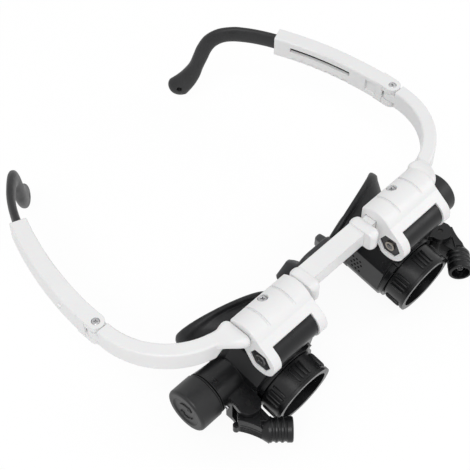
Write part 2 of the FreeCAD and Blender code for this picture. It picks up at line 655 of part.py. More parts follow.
def side_bar(body):
    """Bent bar from the shoulder round the corner to the temple hinge, with rounded edges."""
    inner = "(corner_radius - bar_width / 2)"
    outer = "(corner_radius + bar_width / 2)"
    start = f"({KNOB_IN} + stop_gap)"
    drop = f"pow({start} - corner_across; 2)"
    sketch = outline(sketch_on(body, "XY_Plane"), [
        (start, f"corner_back - sqrt(pow({outer}; 2) - {drop})"),
        (f"corner_across + {outer}", "corner_back", outer, LEFT_TURN),
        (f"corner_across + {outer}", SHOULDER_END),
        (f"corner_across + {inner}", SHOULDER_END),
        (f"corner_across + {inner}", "corner_back"),
        (start, f"corner_back - sqrt(pow({inner}; 2) - {drop})", inner, RIGHT_TURN),
    ])
    pad(body, sketch, "bar_height", backwards=True)
    round_edges(body, "bar_round", lambda box: box.ZLength < 0.01 and box.YLength > number("corner_radius / 2"))


def temple_tongue(body):
    """Tongue at the end of the side bar, between the leaves of the temple arm."""
    root = f"{SHOULDER_END} - overrun"
    sketch = outline(sketch_on(body, "XY_Plane", "-leaf_height - leaf_gap"), [
        (f"{HINGE_ACROSS} + knuckle_radius", "temple_back"),
        (HINGE_ACROSS, "temple_back + knuckle_radius", "knuckle_radius", LEFT_TURN),
        (f"{HINGE_ACROSS} - knuckle_radius", "temple_back", "knuckle_radius", LEFT_TURN),
        (f"{HINGE_ACROSS} - bar_width / 2", root),
        (f"{HINGE_ACROSS} + bar_width / 2", root),
    ])
    pad(body, sketch, "bar_height - 2 * leaf_height - 2 * leaf_gap", backwards=True)


def pad_socket(body):
    """Half of the socket in the bridge's underside that takes the nose pad's plug."""
    middle = "(bridge_back - bridge_width / 2)"
    sketch = rectangle(sketch_on(body, "XY_Plane", "-bridge_height - overrun"),
                       "-overrun", f"{middle} - plug_thickness / 2 - pad_gap",
                       "plug_half + pad_gap", f"{middle} + plug_thickness / 2 + pad_gap")
    pocket(body, sketch, "plug_height + overrun + pad_gap", along=True)


def mirror_of(piece, label):
    """The twin of a left-hand piece on the right-hand side."""
    twin = new_part("Mirroring", label)
    twin.Source = piece
    twin.Normal = FreeCAD.Vector(1, 0, 0)
    return twin


def nose_pad():
    """Silicone arch behind the bridge, with a plug that snaps into the bridge's underside."""
    lean = move(turn="pad_lean", axis=ACROSS)
    body = new_body("nose_pad", move("0", "bridge_back + pad_gap", "-pad_top"))
    arch = outline(sketch_on(body, "XZ_Plane", "0", lean), [
        ("pad_half", "-pad_round"),
        ("pad_half - pad_round", "0", "pad_round", LEFT_TURN),
        ("-pad_half + pad_round", "0"),
        ("-pad_half", "-pad_round", "pad_round", LEFT_TURN),
        ("-pad_spread", "-pad_fall"),
        ("-pad_spread + pad_wall", "-pad_fall"),
        ("-pad_half + pad_wall", "-pad_round"),
        ("-pad_half + pad_round", "-pad_wall", "pad_round - pad_wall", RIGHT_TURN),
        ("pad_half - pad_round", "-pad_wall"),
        ("pad_half - pad_wall", "-pad_round", "pad_round - pad_wall", RIGHT_TURN),
        ("pad_spread - pad_wall", "-pad_fall"),
        ("pad_spread", "-pad_fall"),
    ])
    pad(body, arch, "pad_arch_depth", backwards=True)
    slope = "((pad_spread - pad_half) / (pad_fall - pad_round))"
    top_reach = f"(pad_half + (pad_foot_top - pad_round) * {slope})"
    for side in ("", "-"):
        foot = outline(sketch_on(body, "XZ_Plane", "0", lean), [
            (f"{side}({top_reach} - pad_wall)", "-pad_foot_top"),
            (f"{side}(pad_spread - pad_wall)", "-pad_fall"),
            (f"{side}pad_spread", "-pad_fall"),
            (f"{side}{top_reach}", "-pad_foot_top"),
        ])
        pad(body, foot, "pad_foot_depth", backwards=True)
    plug(body)
    return body


def plug(body):
    """Plug that goes up into the bridge and the strip that joins it to the pad."""
    middle = "(-bridge_width / 2 - pad_gap)"
    low = "(pad_top - rail_height - pad_gap - plug_foot)"
    strip = rectangle(sketch_on(body, "YZ_Plane", "-plug_half"), f"{middle} - plug_thickness / 2", low,
                      "pad_arch_depth", f"{low} + plug_foot")
    pad(body, strip, "2 * plug_half")
    stem = rectangle(sketch_on(body, "YZ_Plane", "-plug_half"), f"{middle} - plug_thickness / 2",
                     f"{low} + plug_foot / 2", f"{middle} + plug_thickness / 2", f"{low} + plug_foot + plug_height")
    pad(body, stem, "2 * plug_half")


# saddles and the flip-up hinges

def saddle():
    """Saddle that slides on the rail, with two ears for the loupe hinge."""
    body = new_body("saddle_left")
    crown_at_back = "sqrt(pow(crown_radius; 2) - pow(saddle_back + crown_front; 2))"
    brow_fall = "(crown_radius - crown_drop - brow_rise)"
    brow_radius = f"((pow(brow_front - crown_front; 2) + pow({brow_fall}; 2)) / (2 * {brow_fall}))"
    profile = outline(sketch_on(body, "YZ_Plane", SADDLE_IN), [
        ("saddle_back", "-saddle_low"),
        ("saddle_back", f"{crown_at_back} - crown_drop"),
        ("-crown_front", "crown_radius - crown_drop", "crown_radius", LEFT_TURN),
        ("-brow_front", "brow_rise", brow_radius, LEFT_TURN),
        ("-hinge_front - ear_radius * cos(45)", "-hinge_drop + ear_radius * sin(45)"),
        ("-hinge_front + ear_radius * cos(60)", "-hinge_drop - ear_radius * sin(60)", "ear_radius", LEFT_TURN),
        ("rail_back - rail_width - rail_gap", "-saddle_low"),
    ])
    pad(body, profile, "2 * ear_thickness + window_length")
    faces = (number(SADDLE_IN), number(SADDLE_OUT))
    round_edges(body, "saddle_round", lambda box: box.ZMin > 0 and any(
        lies_at(box.XMin, box.XMax, face) for face in faces))
    loupe_window(body)
    tunnel = rectangle(sketch_on(body, "YZ_Plane", f"{SADDLE_IN} - overrun"),
                       "rail_back - rail_width - rail_gap", "-rail_height - rail_gap",
                       "rail_back + rail_gap", "rail_gap")
    pocket(body, tunnel, "2 * ear_thickness + window_length + 2 * overrun", along=True)
    bush_seats(body)
    finger_grooves(body)
    lock_screw_seat(body)
    return body


def loupe_window(body):
    """Opening between the ears for the hinge barrel and the neck of the loupe."""
    hollow = "(barrel_radius + barrel_gap)"
    edge_rise = f"(sqrt(pow({hollow}; 2) - pow(window_edge - hinge_front; 2)) - hinge_drop)"
    sketch = outline(sketch_on(body, "YZ_Plane", "pd_half - window_length / 2"), [
        (f"-hinge_front + {hollow}", "-hinge_drop - 2 * ear_radius"),
        (f"-hinge_front + {hollow}", "-hinge_drop"),
        ("-window_edge", edge_rise, hollow, LEFT_TURN),
        ("-window_edge", "crown_radius"),
        ("-hinge_front - 2 * ear_radius", "crown_radius"),
        ("-hinge_front - 2 * ear_radius", "-hinge_drop - 2 * ear_radius"),
    ])
    pocket(body, sketch, "window_length", along=True)


def bush_seats(body):
    """Hexagon recess and round hole for a bush in each ear."""
    for face, inwards in ((SADDLE_IN, 1), (SADDLE_OUT, -1)):
        start = f"{face} - {inwards} * overrun"
        recess = hexagon(sketch_on(body, "YZ_Plane", start), "-hinge_front", "-hinge_drop", "(hex_half + hex_gap)")
        pocket(body, recess, "hex_height + hex_sink + overrun", along=inwards == 1)
        hole = circle(sketch_on(body, "YZ_Plane", start), "-hinge_front", "-hinge_drop", "bush_radius + running_gap")
        pocket(body, hole, "ear_thickness + 2 * overrun", along=inwards == 1)


def finger_grooves(body):
    """Two grooves that follow the crown of the saddle."""
    centre = move("-crown_front", "-crown_drop")
    for side in (-1, 1):
        start = f"pd_half + {side} * groove_spacing / 2 - groove_width / 2"
        sketch = band(sketch_on(body, "YZ_Plane", start, centre),
                      "crown_radius - groove_depth", "crown_radius + overrun", "52", "131")
        pocket(body, sketch, "groove_width", along=True)


def lock_screw_seat(body):
    """Counterbored hole for the lock screw, down to the rail."""
    seat = circle(sketch_on(body, "XY_Plane", "crown_radius"), "pd_half", "0", "lock_head_radius + running_gap")
    pocket(body, seat, "crown_radius - lock_head_top + lock_head_height + running_gap")
    hole = circle(sketch_on(body, "XY_Plane", "crown_radius"), "pd_half", "0", "lock_shank_radius + running_gap")
    pocket(body, hole, "crown_radius")


def lock_screw():
    """Screw that clamps the saddle to the rail, backed off a little."""
    return turned("lock_screw_left", [
        ("0", "lock_tip"),
        ("lock_shank_radius", "lock_tip"),
        ("lock_shank_radius", "lock_head_top - lock_head_height"),
        ("lock_head_radius", "lock_head_top - lock_head_height"),
        ("lock_head_radius", "lock_head_top"),
        ("0", "lock_head_top"),
    ], move("pd_half"), UPRIGHT)


def hinge_bushes():
    """Pair of hexagon bushes: the ears hold their heads and the barrel turns on their necks."""
    body = new_body("hinge_bush_outer", move("pd_half", "-hinge_front", "-hinge_drop"))
    head_end = f"({EAR_FACE} - hex_sink)"
    head = hexagon(sketch_on(body, "YZ_Plane", f"{head_end} - hex_height"), "0", "0", "hex_half")
    pad(body, head, "hex_height")
    neck_start = "(barrel_half - bush_reach)"
    neck = circle(sketch_on(body, "YZ_Plane", neck_start), "0", "0", "bush_radius")
    pad(body, neck, f"{head_end} - hex_height / 2 - {neck_start}")
    bore = circle(sketch_on(body, "YZ_Plane"), "0", "0", "hinge_screw_radius + running_gap")
    pocket(body, bore, f"{EAR_FACE} + overrun", along=True)
    inner = mirror_of(body, "hinge_bush_inner")
    bind(inner, "Base.x", "pd_half")
    pair = new_part("Compound", "hinge_bushes_left")
    pair.Links = [body, inner]
    return pair


def hinge_screw():
    """Screw through both bushes, with its head on the outer side."""
    face = f"({EAR_FACE} - hex_sink + running_gap)"
    return turned("hinge_screw_left", [
        ("0", f"-{face} - hinge_head_height"),
        ("hinge_screw_radius", f"-{face} - hinge_head_height"),
        ("hinge_screw_radius", face),
        ("hinge_head_radius", face),
        ("hinge_head_radius", f"{face} + hinge_head_height"),
        ("0", f"{face} + hinge_head_height"),
    ], move("pd_half", "-hinge_front", "-hinge_drop"), TO_RIGHT)


def hinge_nut():
    """Round brass nut on the inner side of the hinge."""
    face = f"({EAR_FACE} - hex_sink + running_gap)"
    hole = "hinge_screw_radius + running_gap"
    return turned("hinge_nut_left", [
        (hole, f"-{face} - hinge_head_height"),
        ("hinge_nut_radius", f"-{face} - hinge_head_height"),
        ("hinge_nut_radius", f"-{face}"),
        (hole, f"-{face}"),
    ], move("pd_half", "-hinge_front", "-hinge_drop"), TO_RIGHT)


# loupes

def loupe_body():
    """Black moulding: tube, flat-topped housing, hinge barrel, battery tube and lamp lug."""
    body = new_body("loupe_body_left", SIGHT)
    spin(body, "Revolution", outline(sketch_on(body, "XY_Plane"), [
        ("0", "step_start"),
        ("step_radius", "step_start"),
        ("step_radius", "step_start + step_length"),
        ("tube_radius", "step_start + step_length"),
        ("tube_radius", "tube_end"),
        ("tail_radius", "tube_end"),
        ("tail_radius", "tube_end + tail_length"),
        ("0", "tube_end + tail_length"),
    ]))
    housing(body)
    hinge_neck(body)
    battery_tube(body)
    lamp_lug(body)
    step_nub(body)
    sight_bore(body)
    hinge_bores(body)
    spin(body, "Groove", outline(sketch_on(body, "XY_Plane", "0", BATTERY_AXIS), [
        ("0", "battery_floor"),
        ("battery_bore", "battery_floor"),
        ("battery_bore", "battery_mouth + mouth_neck_length + overrun"),
        ("0", "battery_mouth + mouth_neck_length + overrun"),
    ]))
    plunger_hole = circle(sketch_on(body, "XZ_Plane", "-battery_back"), "plunger_across", "battery_rise",
                          "plunger_radius + running_gap")
    pocket(body, plunger_hole, "battery_mouth_radius + overrun", along=True)
    return body


def housing(body):
    """Flat-topped housing round the tube."""
    sketch = outline(sketch_on(body, "XZ_Plane", "-tube_end"), [
        ("-block_side", "-block_low"),
        ("block_side", "-block_low"),
        ("block_side", "block_shoulder"),
        ("block_half", "block_top"),
        ("-block_half", "block_top"),
        ("-block_side", "block_shoulder"),
    ])
    pad(body, sketch, "tube_end - step_start - step_length")
    round_edges(body, "body_round", lambda box: box.ZLength < 0.01 and box.XLength < 0.01
                and abs(box.XMin) > number("block_half - overrun") and box.ZMin > 0)


def hinge_neck(body):
    """Neck and hinge barrel on top of the housing."""
    neck = rectangle(sketch_on(body, "YZ_Plane", "-barrel_half"), "web_front", "block_top - 2 * overrun",
                     "web_back", BARREL_UP)
    pad(body, neck, "2 * barrel_half")
    barrel = circle(sketch_on(body, "YZ_Plane", "-barrel_half"), BARREL_BACK, BARREL_UP, "barrel_radius")
    pad(body, barrel, "2 * barrel_half")


def battery_tube(body):
    """Waisted tube for the cells, with the neck that the cap turns on."""
    flat = "(tube_end - battery_back)"
    half_height = f"sqrt(pow(battery_root_radius; 2) - pow({flat}; 2))"
    root = outline(sketch_on(body, "YZ_Plane", "inner_radius", move("battery_back", "battery_rise")), [
        (flat, half_height),
        ("-battery_root_radius", "0", "battery_root_radius", LEFT_TURN),
        (flat, f"-{half_height}", "battery_root_radius", LEFT_TURN),
    ])
    pad(body, root, "battery_root - inner_radius")
    spin(body, "Revolution", outline(sketch_on(body, "XY_Plane", "0", BATTERY_AXIS), [
        ("0", "battery_root"),
        ("battery_root_radius", "battery_root"),
        ("battery_mouth_radius", "battery_mouth", "battery_waist", RIGHT_TURN),
        ("mouth_neck_radius", "battery_mouth"),
        ("mouth_neck_radius", "battery_mouth + mouth_neck_length"),
        ("0", "battery_mouth + mouth_neck_length"),
    ]))


def lamp_lug(body):
    """Level fork that holds the lamp pin, with a ledge back to the housing."""
    level = move("lamp_across", LUG_BACK, LUG_UP, "-loupe_pitch", ACROSS)
    sketch = outline(sketch_on(body, "XY_Plane", "0", level), [
        ("lug_radius", "0", "lug_radius", LEFT_TURN),
        ("lug_outer", "lug_wall"),
        ("lug_outer", "lug_root"),
        ("-lug_inner", "lug_root"),
        ("-lug_inner", "lug_shoulder"),
        ("-lug_radius", "0"),
        ("0", "-lug_radius", "lug_radius", LEFT_TURN),
    ])
    pad(body, sketch, "lug_height", backwards=True)
    slot = rectangle(sketch_on(body, "XY_Plane", "0", level, move(up="-lug_plate")),
                     "-2 * lug_radius", "-2 * lug_radius", "2 * lug_radius", "lug_wall")
    pocket(body, slot, "lug_height - 2 * lug_plate")
    hole = circle(sketch_on(body, "XY_Plane", "0", level, move(up="overrun")), "0", "0",
                  "lamp_pin_radius + running_gap")
    pocket(body, hole, "lug_height - lug_plate / 2 + overrun")


def step_nub(body):
    """Small nub that marks the step ring."""
    sketch = rectangle(sketch_on(body, "XZ_Plane", "-step_start - step_length", move(turn="nub_turn")),
                       "-nub_width / 2", "step_radius - overrun", "nub_width / 2", "step_radius + nub_rise")
    pad(body, sketch, "step_length")


def sight_bore(body):
    """Stepped bore along the line of sight, with the seat of the rear lens."""
    seat = "(rear_lens_place - lens_gap)"
    spin(body, "Groove", outline(sketch_on(body, "XY_Plane"), [
        ("0", "step_start - overrun"),
        ("spigot_radius + spigot_gap", "step_start - overrun"),
        ("spigot_radius + spigot_gap", "spigot_end + stop_gap"),
        ("inner_radius", "spigot_end + stop_gap"),
        ("inner_radius", f"{seat} - lens_ring_length"),
        ("seat_radius", f"{seat} - lens_ring_length"),
        ("seat_radius", seat),
        ("rear_lens_radius + lens_gap", seat),
        ("rear_lens_radius + lens_gap", "tube_end + tail_length + overrun"),
        ("0", "tube_end + tail_length + overrun"),
    ]))


def hinge_bores(body):
    """Bore of the hinge barrel for the screw, wider at both ends for the necks of the bushes."""
    screw_hole = circle(sketch_on(body, "YZ_Plane", "-barrel_half - overrun"), BARREL_BACK, BARREL_UP,
                        "hinge_screw_radius + 4 * running_gap")
    pocket(body, screw_hole, "2 * barrel_half + 2 * overrun", along=True)
    for side in (-1, 1):
        end = f"{side} * (barrel_half - bush_reach - stop_gap)"
        neck_hole = circle(sketch_on(body, "YZ_Plane", end), BARREL_BACK, BARREL_UP, "bush_radius + running_gap")
        pocket(body, neck_hole, "bush_reach + stop_gap + overrun", along=side == 1)


def lens_barrel():
    """Removable barrel of the front lens, with six groups of grip ribs."""
    body = turned("lens_barrel_left", [
        ("mouth_radius", "0"),
        ("lip_radius", "0"),
        ("lip_radius", "lip_length"),
        ("grip_radius", "lip_length"),
        ("grip_radius", "grip_end"),
        ("spigot_radius", "grip_end"),
        ("spigot_radius", "spigot_end"),
        ("seat_radius", "spigot_end"),
        ("seat_radius", "front_lens_place + lens_edge + lens_gap"),
        ("mouth_radius", "front_lens_place + lens_edge + lens_gap"),
    ], SIGHT)
    for rib in range(RIBS_IN_GROUP):
        turn = f"{rib - (RIBS_IN_GROUP - 1) / 2} * rib_pitch"
        sketch = rectangle(sketch_on(body, "XZ_Plane", "-rib_start", move(turn=turn)),
                           "-rib_width / 2", "grip_radius - rib_rise", "rib_width / 2", "grip_radius + rib_rise")
        feature = pad(body, sketch, "rib_length", backwards=True)
        repeat_round(body, feature, "Y_Axis", str(FULL_TURN), "rib_groups")
    return body


def lens(label, radius, place):
    """Lens with two bulged faces."""
    curve = f"((pow({radius}; 2) + pow(lens_bulge; 2)) / (2 * lens_bulge))"
    return turned(label, [
        ("0", f"{place} - lens_bulge"),
        (radius, place, curve, LEFT_TURN),
        (radius, f"{place} + lens_edge"),
        ("0", f"{place} + lens_edge + lens_bulge", curve, LEFT_TURN),
    ], SIGHT)


def front_lens():
    return lens("front_lens_left", "front_lens_radius", "front_lens_place")


def rear_lens():
    return lens("rear_lens_left", "rear_lens_radius", "rear_lens_place")


def lens_ring(label, radius, start):
    """Plain ring that holds a lens in its seat."""
    return turned(label, [
        (f"{radius} - lens_ring_width", start),
        (radius, start),
        (radius, f"{start} + lens_ring_length"),
        (f"{radius} - lens_ring_width", f"{start} + lens_ring_length"),
    ], SIGHT)


def front_lens_ring():
    return lens_ring("front_lens_ring_left", "front_lens_radius", "front_lens_place - lens_gap - lens_ring_length")


def rear_lens_ring():
    return lens_ring("rear_lens_ring_left", "rear_lens_radius", "rear_lens_place + lens_edge + lens_gap")


def eyecup():
    """Soft eyecup: a sleeve over the tail that flares to a slanted oval rim."""
    start = "(tube_end + lens_gap)"
    outer = eyecup_shell("eyecup_outside", start, "0")
    inner = eyecup_shell("eyecup_inside", "tube_end + tail_length + overrun / 2", "eyecup_wall")
    sleeve = new_part("Cylinder", "eyecup_sleeve", SIGHT, move("0", "tube_end - overrun", "0", "-90", ACROSS))
    bind(sleeve, "Radius", "tail_radius + eyecup_fit")
    bind(sleeve, "Height", "tail_length + 2 * overrun")
    hollow = new_part("Fuse", "eyecup_hollow")
    hollow.Base = inner
    hollow.Tool = sleeve
    cup = new_part("Cut", "eyecup_left")
    cup.Base = outer
    cup.Tool = hollow
    return cup


def eyecup_shell(label, start, inset):
    """Loft from a round start over the waist to the slanted rim, inset by a wall thickness."""
    first = new_part("Circle", f"{label}_start", SIGHT, move("0", start, "0", "-90", ACROSS))
    bind(first, "Radius", f"tail_radius + eyecup_wall - {inset}")
    waist = new_part("Circle", f"{label}_waist", SIGHT, move("0", "eyecup_waist_back", "0", "-90", ACROSS))
    bind(waist, "Radius", f"eyecup_waist_radius - {inset}")
    rim = new_part("Ellipse", f"{label}_rim", SIGHT, move("rim_across", f"rim_back + {inset} / 20", "rim_rise"),
                   move(turn="rim_turn"), move(turn="rim_lean - 90", axis=ACROSS))
    bind(rim, "MajorRadius", f"rim_half_width - {inset}")
    bind(rim, "MinorRadius", f"rim_half_height - {inset}")
    shell = new_part("Loft", label)
    shell.Sections = [first, waist, rim]
    shell.Solid = True
    return shell


# battery tube contents and cap, turned about the battery axis

def contact_disc():
    """Flat contact on the floor of the battery tube."""
    start = "battery_floor + cell_gap"
    return turned("contact_disc_left", [
        ("0", start),
        ("contact_radius", start),
        ("contact_radius", f"{start} + contact_thickness"),
        ("0", f"{start} + contact_thickness"),
    ], SIGHT, BATTERY_AXIS)


def battery_cells():
    """Three button cells in a row, one behind the other."""
    stack = new_part("Compound", "battery_cells_left")
    stack.Links = [one_cell(place) for place in range(CELLS)]
    return stack


def one_cell(place):
    start = f"({CELL_START} + {place} * (cell_height + cell_gap))"
    return turned(f"battery_cell_{place}", [
        ("0", start),
        ("cell_radius", start),
        ("cell_radius", f"{start} + cell_height - cell_step"),
        ("cell_step_radius", f"{start} + cell_height - cell_step"),
        ("cell_step_radius", f"{start} + cell_height"),
        ("0", f"{start} + cell_height"),
    ], SIGHT, BATTERY_AXIS)


def battery_cap():
    """Screw cap with a rounded end and a shallow dish in it."""
    bore = "mouth_neck_radius + cap_gap"
    end = f"({CAP_START} + cap_length)"
    return turned("battery_cap_left", [
        (bore, CAP_START),
        ("cap_radius", CAP_START),
        ("cap_radius", f"{end} - cap_round"),
        ("cap_radius - cap_round", end, "cap_round", LEFT_TURN),
        ("cap_dish_radius", end),
        ("cap_dish_radius - cap_dish_depth", f"{end} - cap_dish_depth"),
        ("0", f"{end} - cap_dish_depth"),
        ("0", f"{end} - cap_wall"),
        (bore, f"{end} - cap_wall"),
    ], SIGHT, BATTERY_AXIS)


def cap_seal():
    """Rubber ring between the tube's mouth and the cap."""
    body = new_body("cap_seal_left", SIGHT, BATTERY_AXIS)
    spin(body, "Revolution", circle(sketch_on(body, "XY_Plane"), "mouth_neck_radius + seal_gap + seal_radius",
                                    "battery_mouth + seal_gap + seal_radius", "seal_radius"))
    return body


def cap_contact():
    """Sprung cup in the cap that presses on the last cell."""
    base = f"({CAP_START} + cap_length - cap_wall - cell_gap)"
    tip = f"({CELLS_END} + cell_gap)"
    return turned("cap_contact_left", [
        ("0", tip),
        ("cup_tip_radius", tip),
        ("contact_radius", f"{base} - cup_thickness"),
        ("contact_radius + overrun", f"{base} - cup_thickness"),
        ("contact_radius + overrun", base),
        ("contact_radius - cup_thickness", base),
        ("cup_tip_radius - cup_thickness", f"{tip} + cup_thickness"),
        ("0", f"{tip} + cup_thickness"),
    ], SIGHT, BATTERY_AXIS)


def contact_plunger():
    """Sprung plunger that carries the current to the lamp."""
    return turned("contact_plunger_left", [
        ("0", "plunger_tip"),
        ("plunger_radius", "plunger_tip"),
        ("plunger_radius", "plunger_tip + plunger_length"),
        ("0", "plunger_tip + plunger_length"),
    ], SIGHT, move("plunger_across", "0", "battery_rise"))


# lamps

def lamp_pin():
    """Steel pin through the lug and the eye of the lamp holder."""
    low = "-lug_height + lug_plate / 2 + lamp_pin_sink"
    return turned("lamp_pin_left", [
        ("0", low),
        ("lamp_pin_radius", low),
        ("lamp_pin_radius", "-lamp_pin_sink"),
        ("0", "-lamp_pin_sink"),
    ], move("pd_half + lamp_across", "-lamp_front", "-lug_top"), UPRIGHT)


def lamp_holder():
    """Swivelling holder: eye on the pin, a fan with a hollow finger tab, and the ringed lamp barrel."""
    body = new_body("lamp_holder_left", LAMP_PLACE)
    holder_fan(body)
    lamp_barrel(body)
    hole = circle(sketch_on(body, "XY_Plane", "lug_height"), "0", "0", "lamp_pin_radius + running_gap")
    pocket(body, hole, "2 * lug_height")
    return body


def holder_fan(body):
    """Solid fan from the eye to the barrel; its outer face is the finger tab, with a nub at its tail."""
    top = "(lamp_level - lug_top - lug_plate - lug_gap)"
    height = "(lug_height - 2 * lug_plate - 2 * lug_gap)"
    fan = outline(sketch_on(body, "XY_Plane", top), [
        ("-holder_radius", "0"),
        ("0", "-holder_radius", "holder_radius", LEFT_TURN),
        ("holder_radius", "0", "holder_radius", LEFT_TURN),
        ("fan_side", "fan_start"),
        ("fan_side", "fan_end"),
        ("-tab_tail", "tab_tail_offset", "tab_radius", RIGHT_TURN),
        ("-tab_tail", "tab_tail_offset - tab_tail_width"),
    ])
    pad(body, fan, height, backwards=True)
    corner = outline(sketch_on(body, "XZ_Plane", "-lamp_offset - lamp_radius - overrun"), [
        ("tab_corner", f"{top} + overrun"),
        ("fan_side + overrun", f"{top} + overrun"),
        ("fan_side + overrun", f"{top} - {height}"),
        ("fan_side - tab_corner_slip", f"{top} - {height}"),
        ("tab_corner", top, "tab_corner_radius", LEFT_TURN),
    ])
    pocket(body, corner, "lamp_radius + 2 * overrun", along=True)
    recess = outline(sketch_on(body, "XY_Plane", f"{top} + overrun"), [
        ("tab_corner", "fan_start - holder_radius / 2"),
        ("fan_side - overrun", "fan_start + overrun"),
        ("overrun", "fan_start + overrun / 2"),
    ])
    pocket(body, recess, "fan_recess + overrun")
    bead = circle(sketch_on(body, "XY_Plane"), "-tab_tail - tab_bead / 2", "tab_tail_offset - tab_bead / 2", "tab_bead")
    pad(body, bead, "tab_bead_height", backwards=True)


def lamp_barrel(body):
    """Barrel with a cone behind it, three ring grooves and a bore for the bulb."""
    axis = f"{move('lamp_start', 'lamp_offset')} * {TO_RIGHT}"
    spin(body, "Revolution", outline(sketch_on(body, "XY_Plane", "0", axis), [
        ("0", "-lamp_cone_length"),
        ("lamp_cone_radius", "-lamp_cone_length"),
        ("lamp_radius", "0"),
        ("lamp_radius", "lamp_length - lamp_round"),
        ("lamp_radius - lamp_round", "lamp_length", "lamp_round", LEFT_TURN),
        ("0", "lamp_length"),
    ]))
    spin(body, "Groove", outline(sketch_on(body, "XY_Plane", "0", axis), [
        ("0", "lamp_length - lamp_bore_depth"),
        ("lamp_bore", "lamp_length - lamp_bore_depth"),
        ("lamp_bore", "lamp_length + overrun"),
        ("0", "lamp_length + overrun"),
    ]))
    for ring in range(LAMP_RINGS):
        place = f"lamp_length - lamp_ring_start - {ring} * lamp_ring_pitch - lamp_ring_width / 2"
        spin(body, "Groove", circle(sketch_on(body, "XY_Plane", "0", axis),
                                    "lamp_radius + lamp_ring_width - lamp_ring_depth", place, "lamp_ring_width"))


def lamp_bulb():
    """Light-emitting bulb: flange, straight side and a dome."""
    base = "(lamp_length - lamp_bore_depth + bulb_gap)"
    return turned("lamp_bulb_left", [
        ("0", base),
        ("bulb_flange", base),
        ("bulb_flange", f"{base} + bulb_flange_length"),
        ("bulb_radius", f"{base} + bulb_flange_length"),
        ("bulb_radius", f"{base} + bulb_length - bulb_radius"),
        ("0", f"{base} + bulb_length", "bulb_radius", LEFT_TURN),
    ], LAMP_AXIS)


# temple arms and ear tips

def temple_arm():
    """Bowed hollow arm, forked at the hinge, with a window that shows the sliding core."""
    body = new_body("temple_arm_left", ARM_PLACE)
    bar = band(sketch_on(body, "XY_Plane"), ARM_INNER, ARM_OUTER, "fork_root", "arm_end")
    pad(body, bar, "arm_height", backwards=True)
    round_edges(body, "arm_round", lambda box: box.ZLength < 0.01 and box.YLength > number("arm_width"))
    arm_fork(body)
    hollows = (
        (f"{ARM_INNER} + arm_wall", f"{ARM_OUTER} - arm_wall", "channel_start", "arm_end + overrun",
         "arm_roof", "arm_height - 2 * arm_roof"),
        (f"{ARM_INNER} - overrun", "arm_radius", "slot_start", "slot_end", "slot_top", "slot_height"),
        (f"{ARM_INNER} - overrun", f"{ARM_INNER} + recess_depth", "recess_start", "recess_end",
         "recess_top", "arm_height - 2 * recess_top"),
    )
    for inner, outer, first, last, top, height in hollows:
        pocket(body, band(sketch_on(body, "XY_Plane", f"-{top}"), inner, outer, first, last), height)
    arm_notches(body)
    arm_button(body)
    return body


def arm_fork(body):
    """Two round leaves that hold the frame's tongue, and the hole for the hinge screw."""
    room = circle(sketch_on(body, "XY_Plane", "-leaf_height"), "arm_radius", "0", "knuckle_radius + knuckle_gap")
    pocket(body, room, "bar_height - 2 * leaf_height")
    for top, height in (("0", "leaf_height"), ("leaf_height - bar_height", "leaf_height + arm_height - bar_height")):
        leaf = outline(sketch_on(body, "XY_Plane", top), [
            ("arm_radius + knuckle_radius", "0", "knuckle_radius", LEFT_TURN),
            ("arm_radius + knuckle_radius", "arm_width"),
            ("arm_radius - knuckle_radius", "arm_width"),
            ("arm_radius - knuckle_radius", "0"),
            ("arm_radius", "-knuckle_radius", "knuckle_radius", LEFT_TURN),
        ])
        pad(body, leaf, height, backwards=True)
    head = circle(sketch_on(body, "XY_Plane", "overrun"), "arm_radius", "0", "temple_head_radius + running_gap")
    pocket(body, head, "temple_head_height + overrun")
    hole = circle(sketch_on(body, "XY_Plane", "overrun"), "arm_radius", "0", "temple_screw_radius + running_gap")
    pocket(body, hole, "bar_height - leaf_height / 3 + overrun")


def radial(angle, radius, down):
    """A sketch place on the arm whose normal points away from the middle of the bow."""
    return move(turn=angle), move(radius, "0", f"-({down})", "90", BACK)


def arm_notches(body):
    """Row of shallow notches along the lower inner edge."""
    step = "((slot_end - slot_start) / notch_count)"
    place = radial(f"slot_start + {step} / 2", f"{ARM_INNER} - overrun", "arm_height")
    sketch = circle(sketch_on(body, "XY_Plane", "0", *place), "0", "0", "notch_radius")
    notch = pocket(body, sketch, "notch_depth + overrun", along=True)
    repeat_round(body, notch, "Z_Axis", f"{step} * (notch_count - 1)", "notch_count")


def arm_button(body):
    """Small round button on the outer face."""
    place = radial("button_place", f"{ARM_OUTER} - arm_wall / 2", "arm_height / 2")
    sketch = circle(sketch_on(body, "XY_Plane", "0", *place), "0", "0", "button_radius")
    pad(body, sketch, "arm_wall / 2 + button_rise")


def temple_screw():
    """Hinge screw of the temple arm, flush with its top."""
    low = "(-bar_height + leaf_height / 3 + stop_gap)"
    return turned("temple_screw_left", [
        ("0", low),
        ("temple_screw_radius", low),
        ("temple_screw_radius", "-temple_head_height + running_gap"),
        ("temple_head_radius", "-temple_head_height + running_gap"),
        ("temple_head_radius", "0"),
        ("0", "0"),
    ], move(HINGE_ACROSS, "temple_back"), UPRIGHT)


def ear_tip_core():
    """Stiff core: it slides inside the arm and its tang is moulded into the ear tip."""
    body = new_body("ear_tip_core_left", ARM_PLACE)
    half = "(arm_width / 2 - arm_wall - core_gap)"
    slide = band(sketch_on(body, "XY_Plane", "-arm_roof - core_gap"), f"arm_radius - {half}", f"arm_radius + {half}",
                 "core_start", "arm_end + tip_start_gap / 2")
    pad(body, slide, "arm_height - 2 * arm_roof - 2 * core_gap", backwards=True)
    tang = band(sketch_on(body, "XY_Plane", "-tip_level + tang_height / 2"), "arm_radius - tang_thickness / 2",
                "arm_radius + tang_thickness / 2", "arm_end - overrun", "core_end")
    pad(body, tang, "tang_height", backwards=True)
    return body


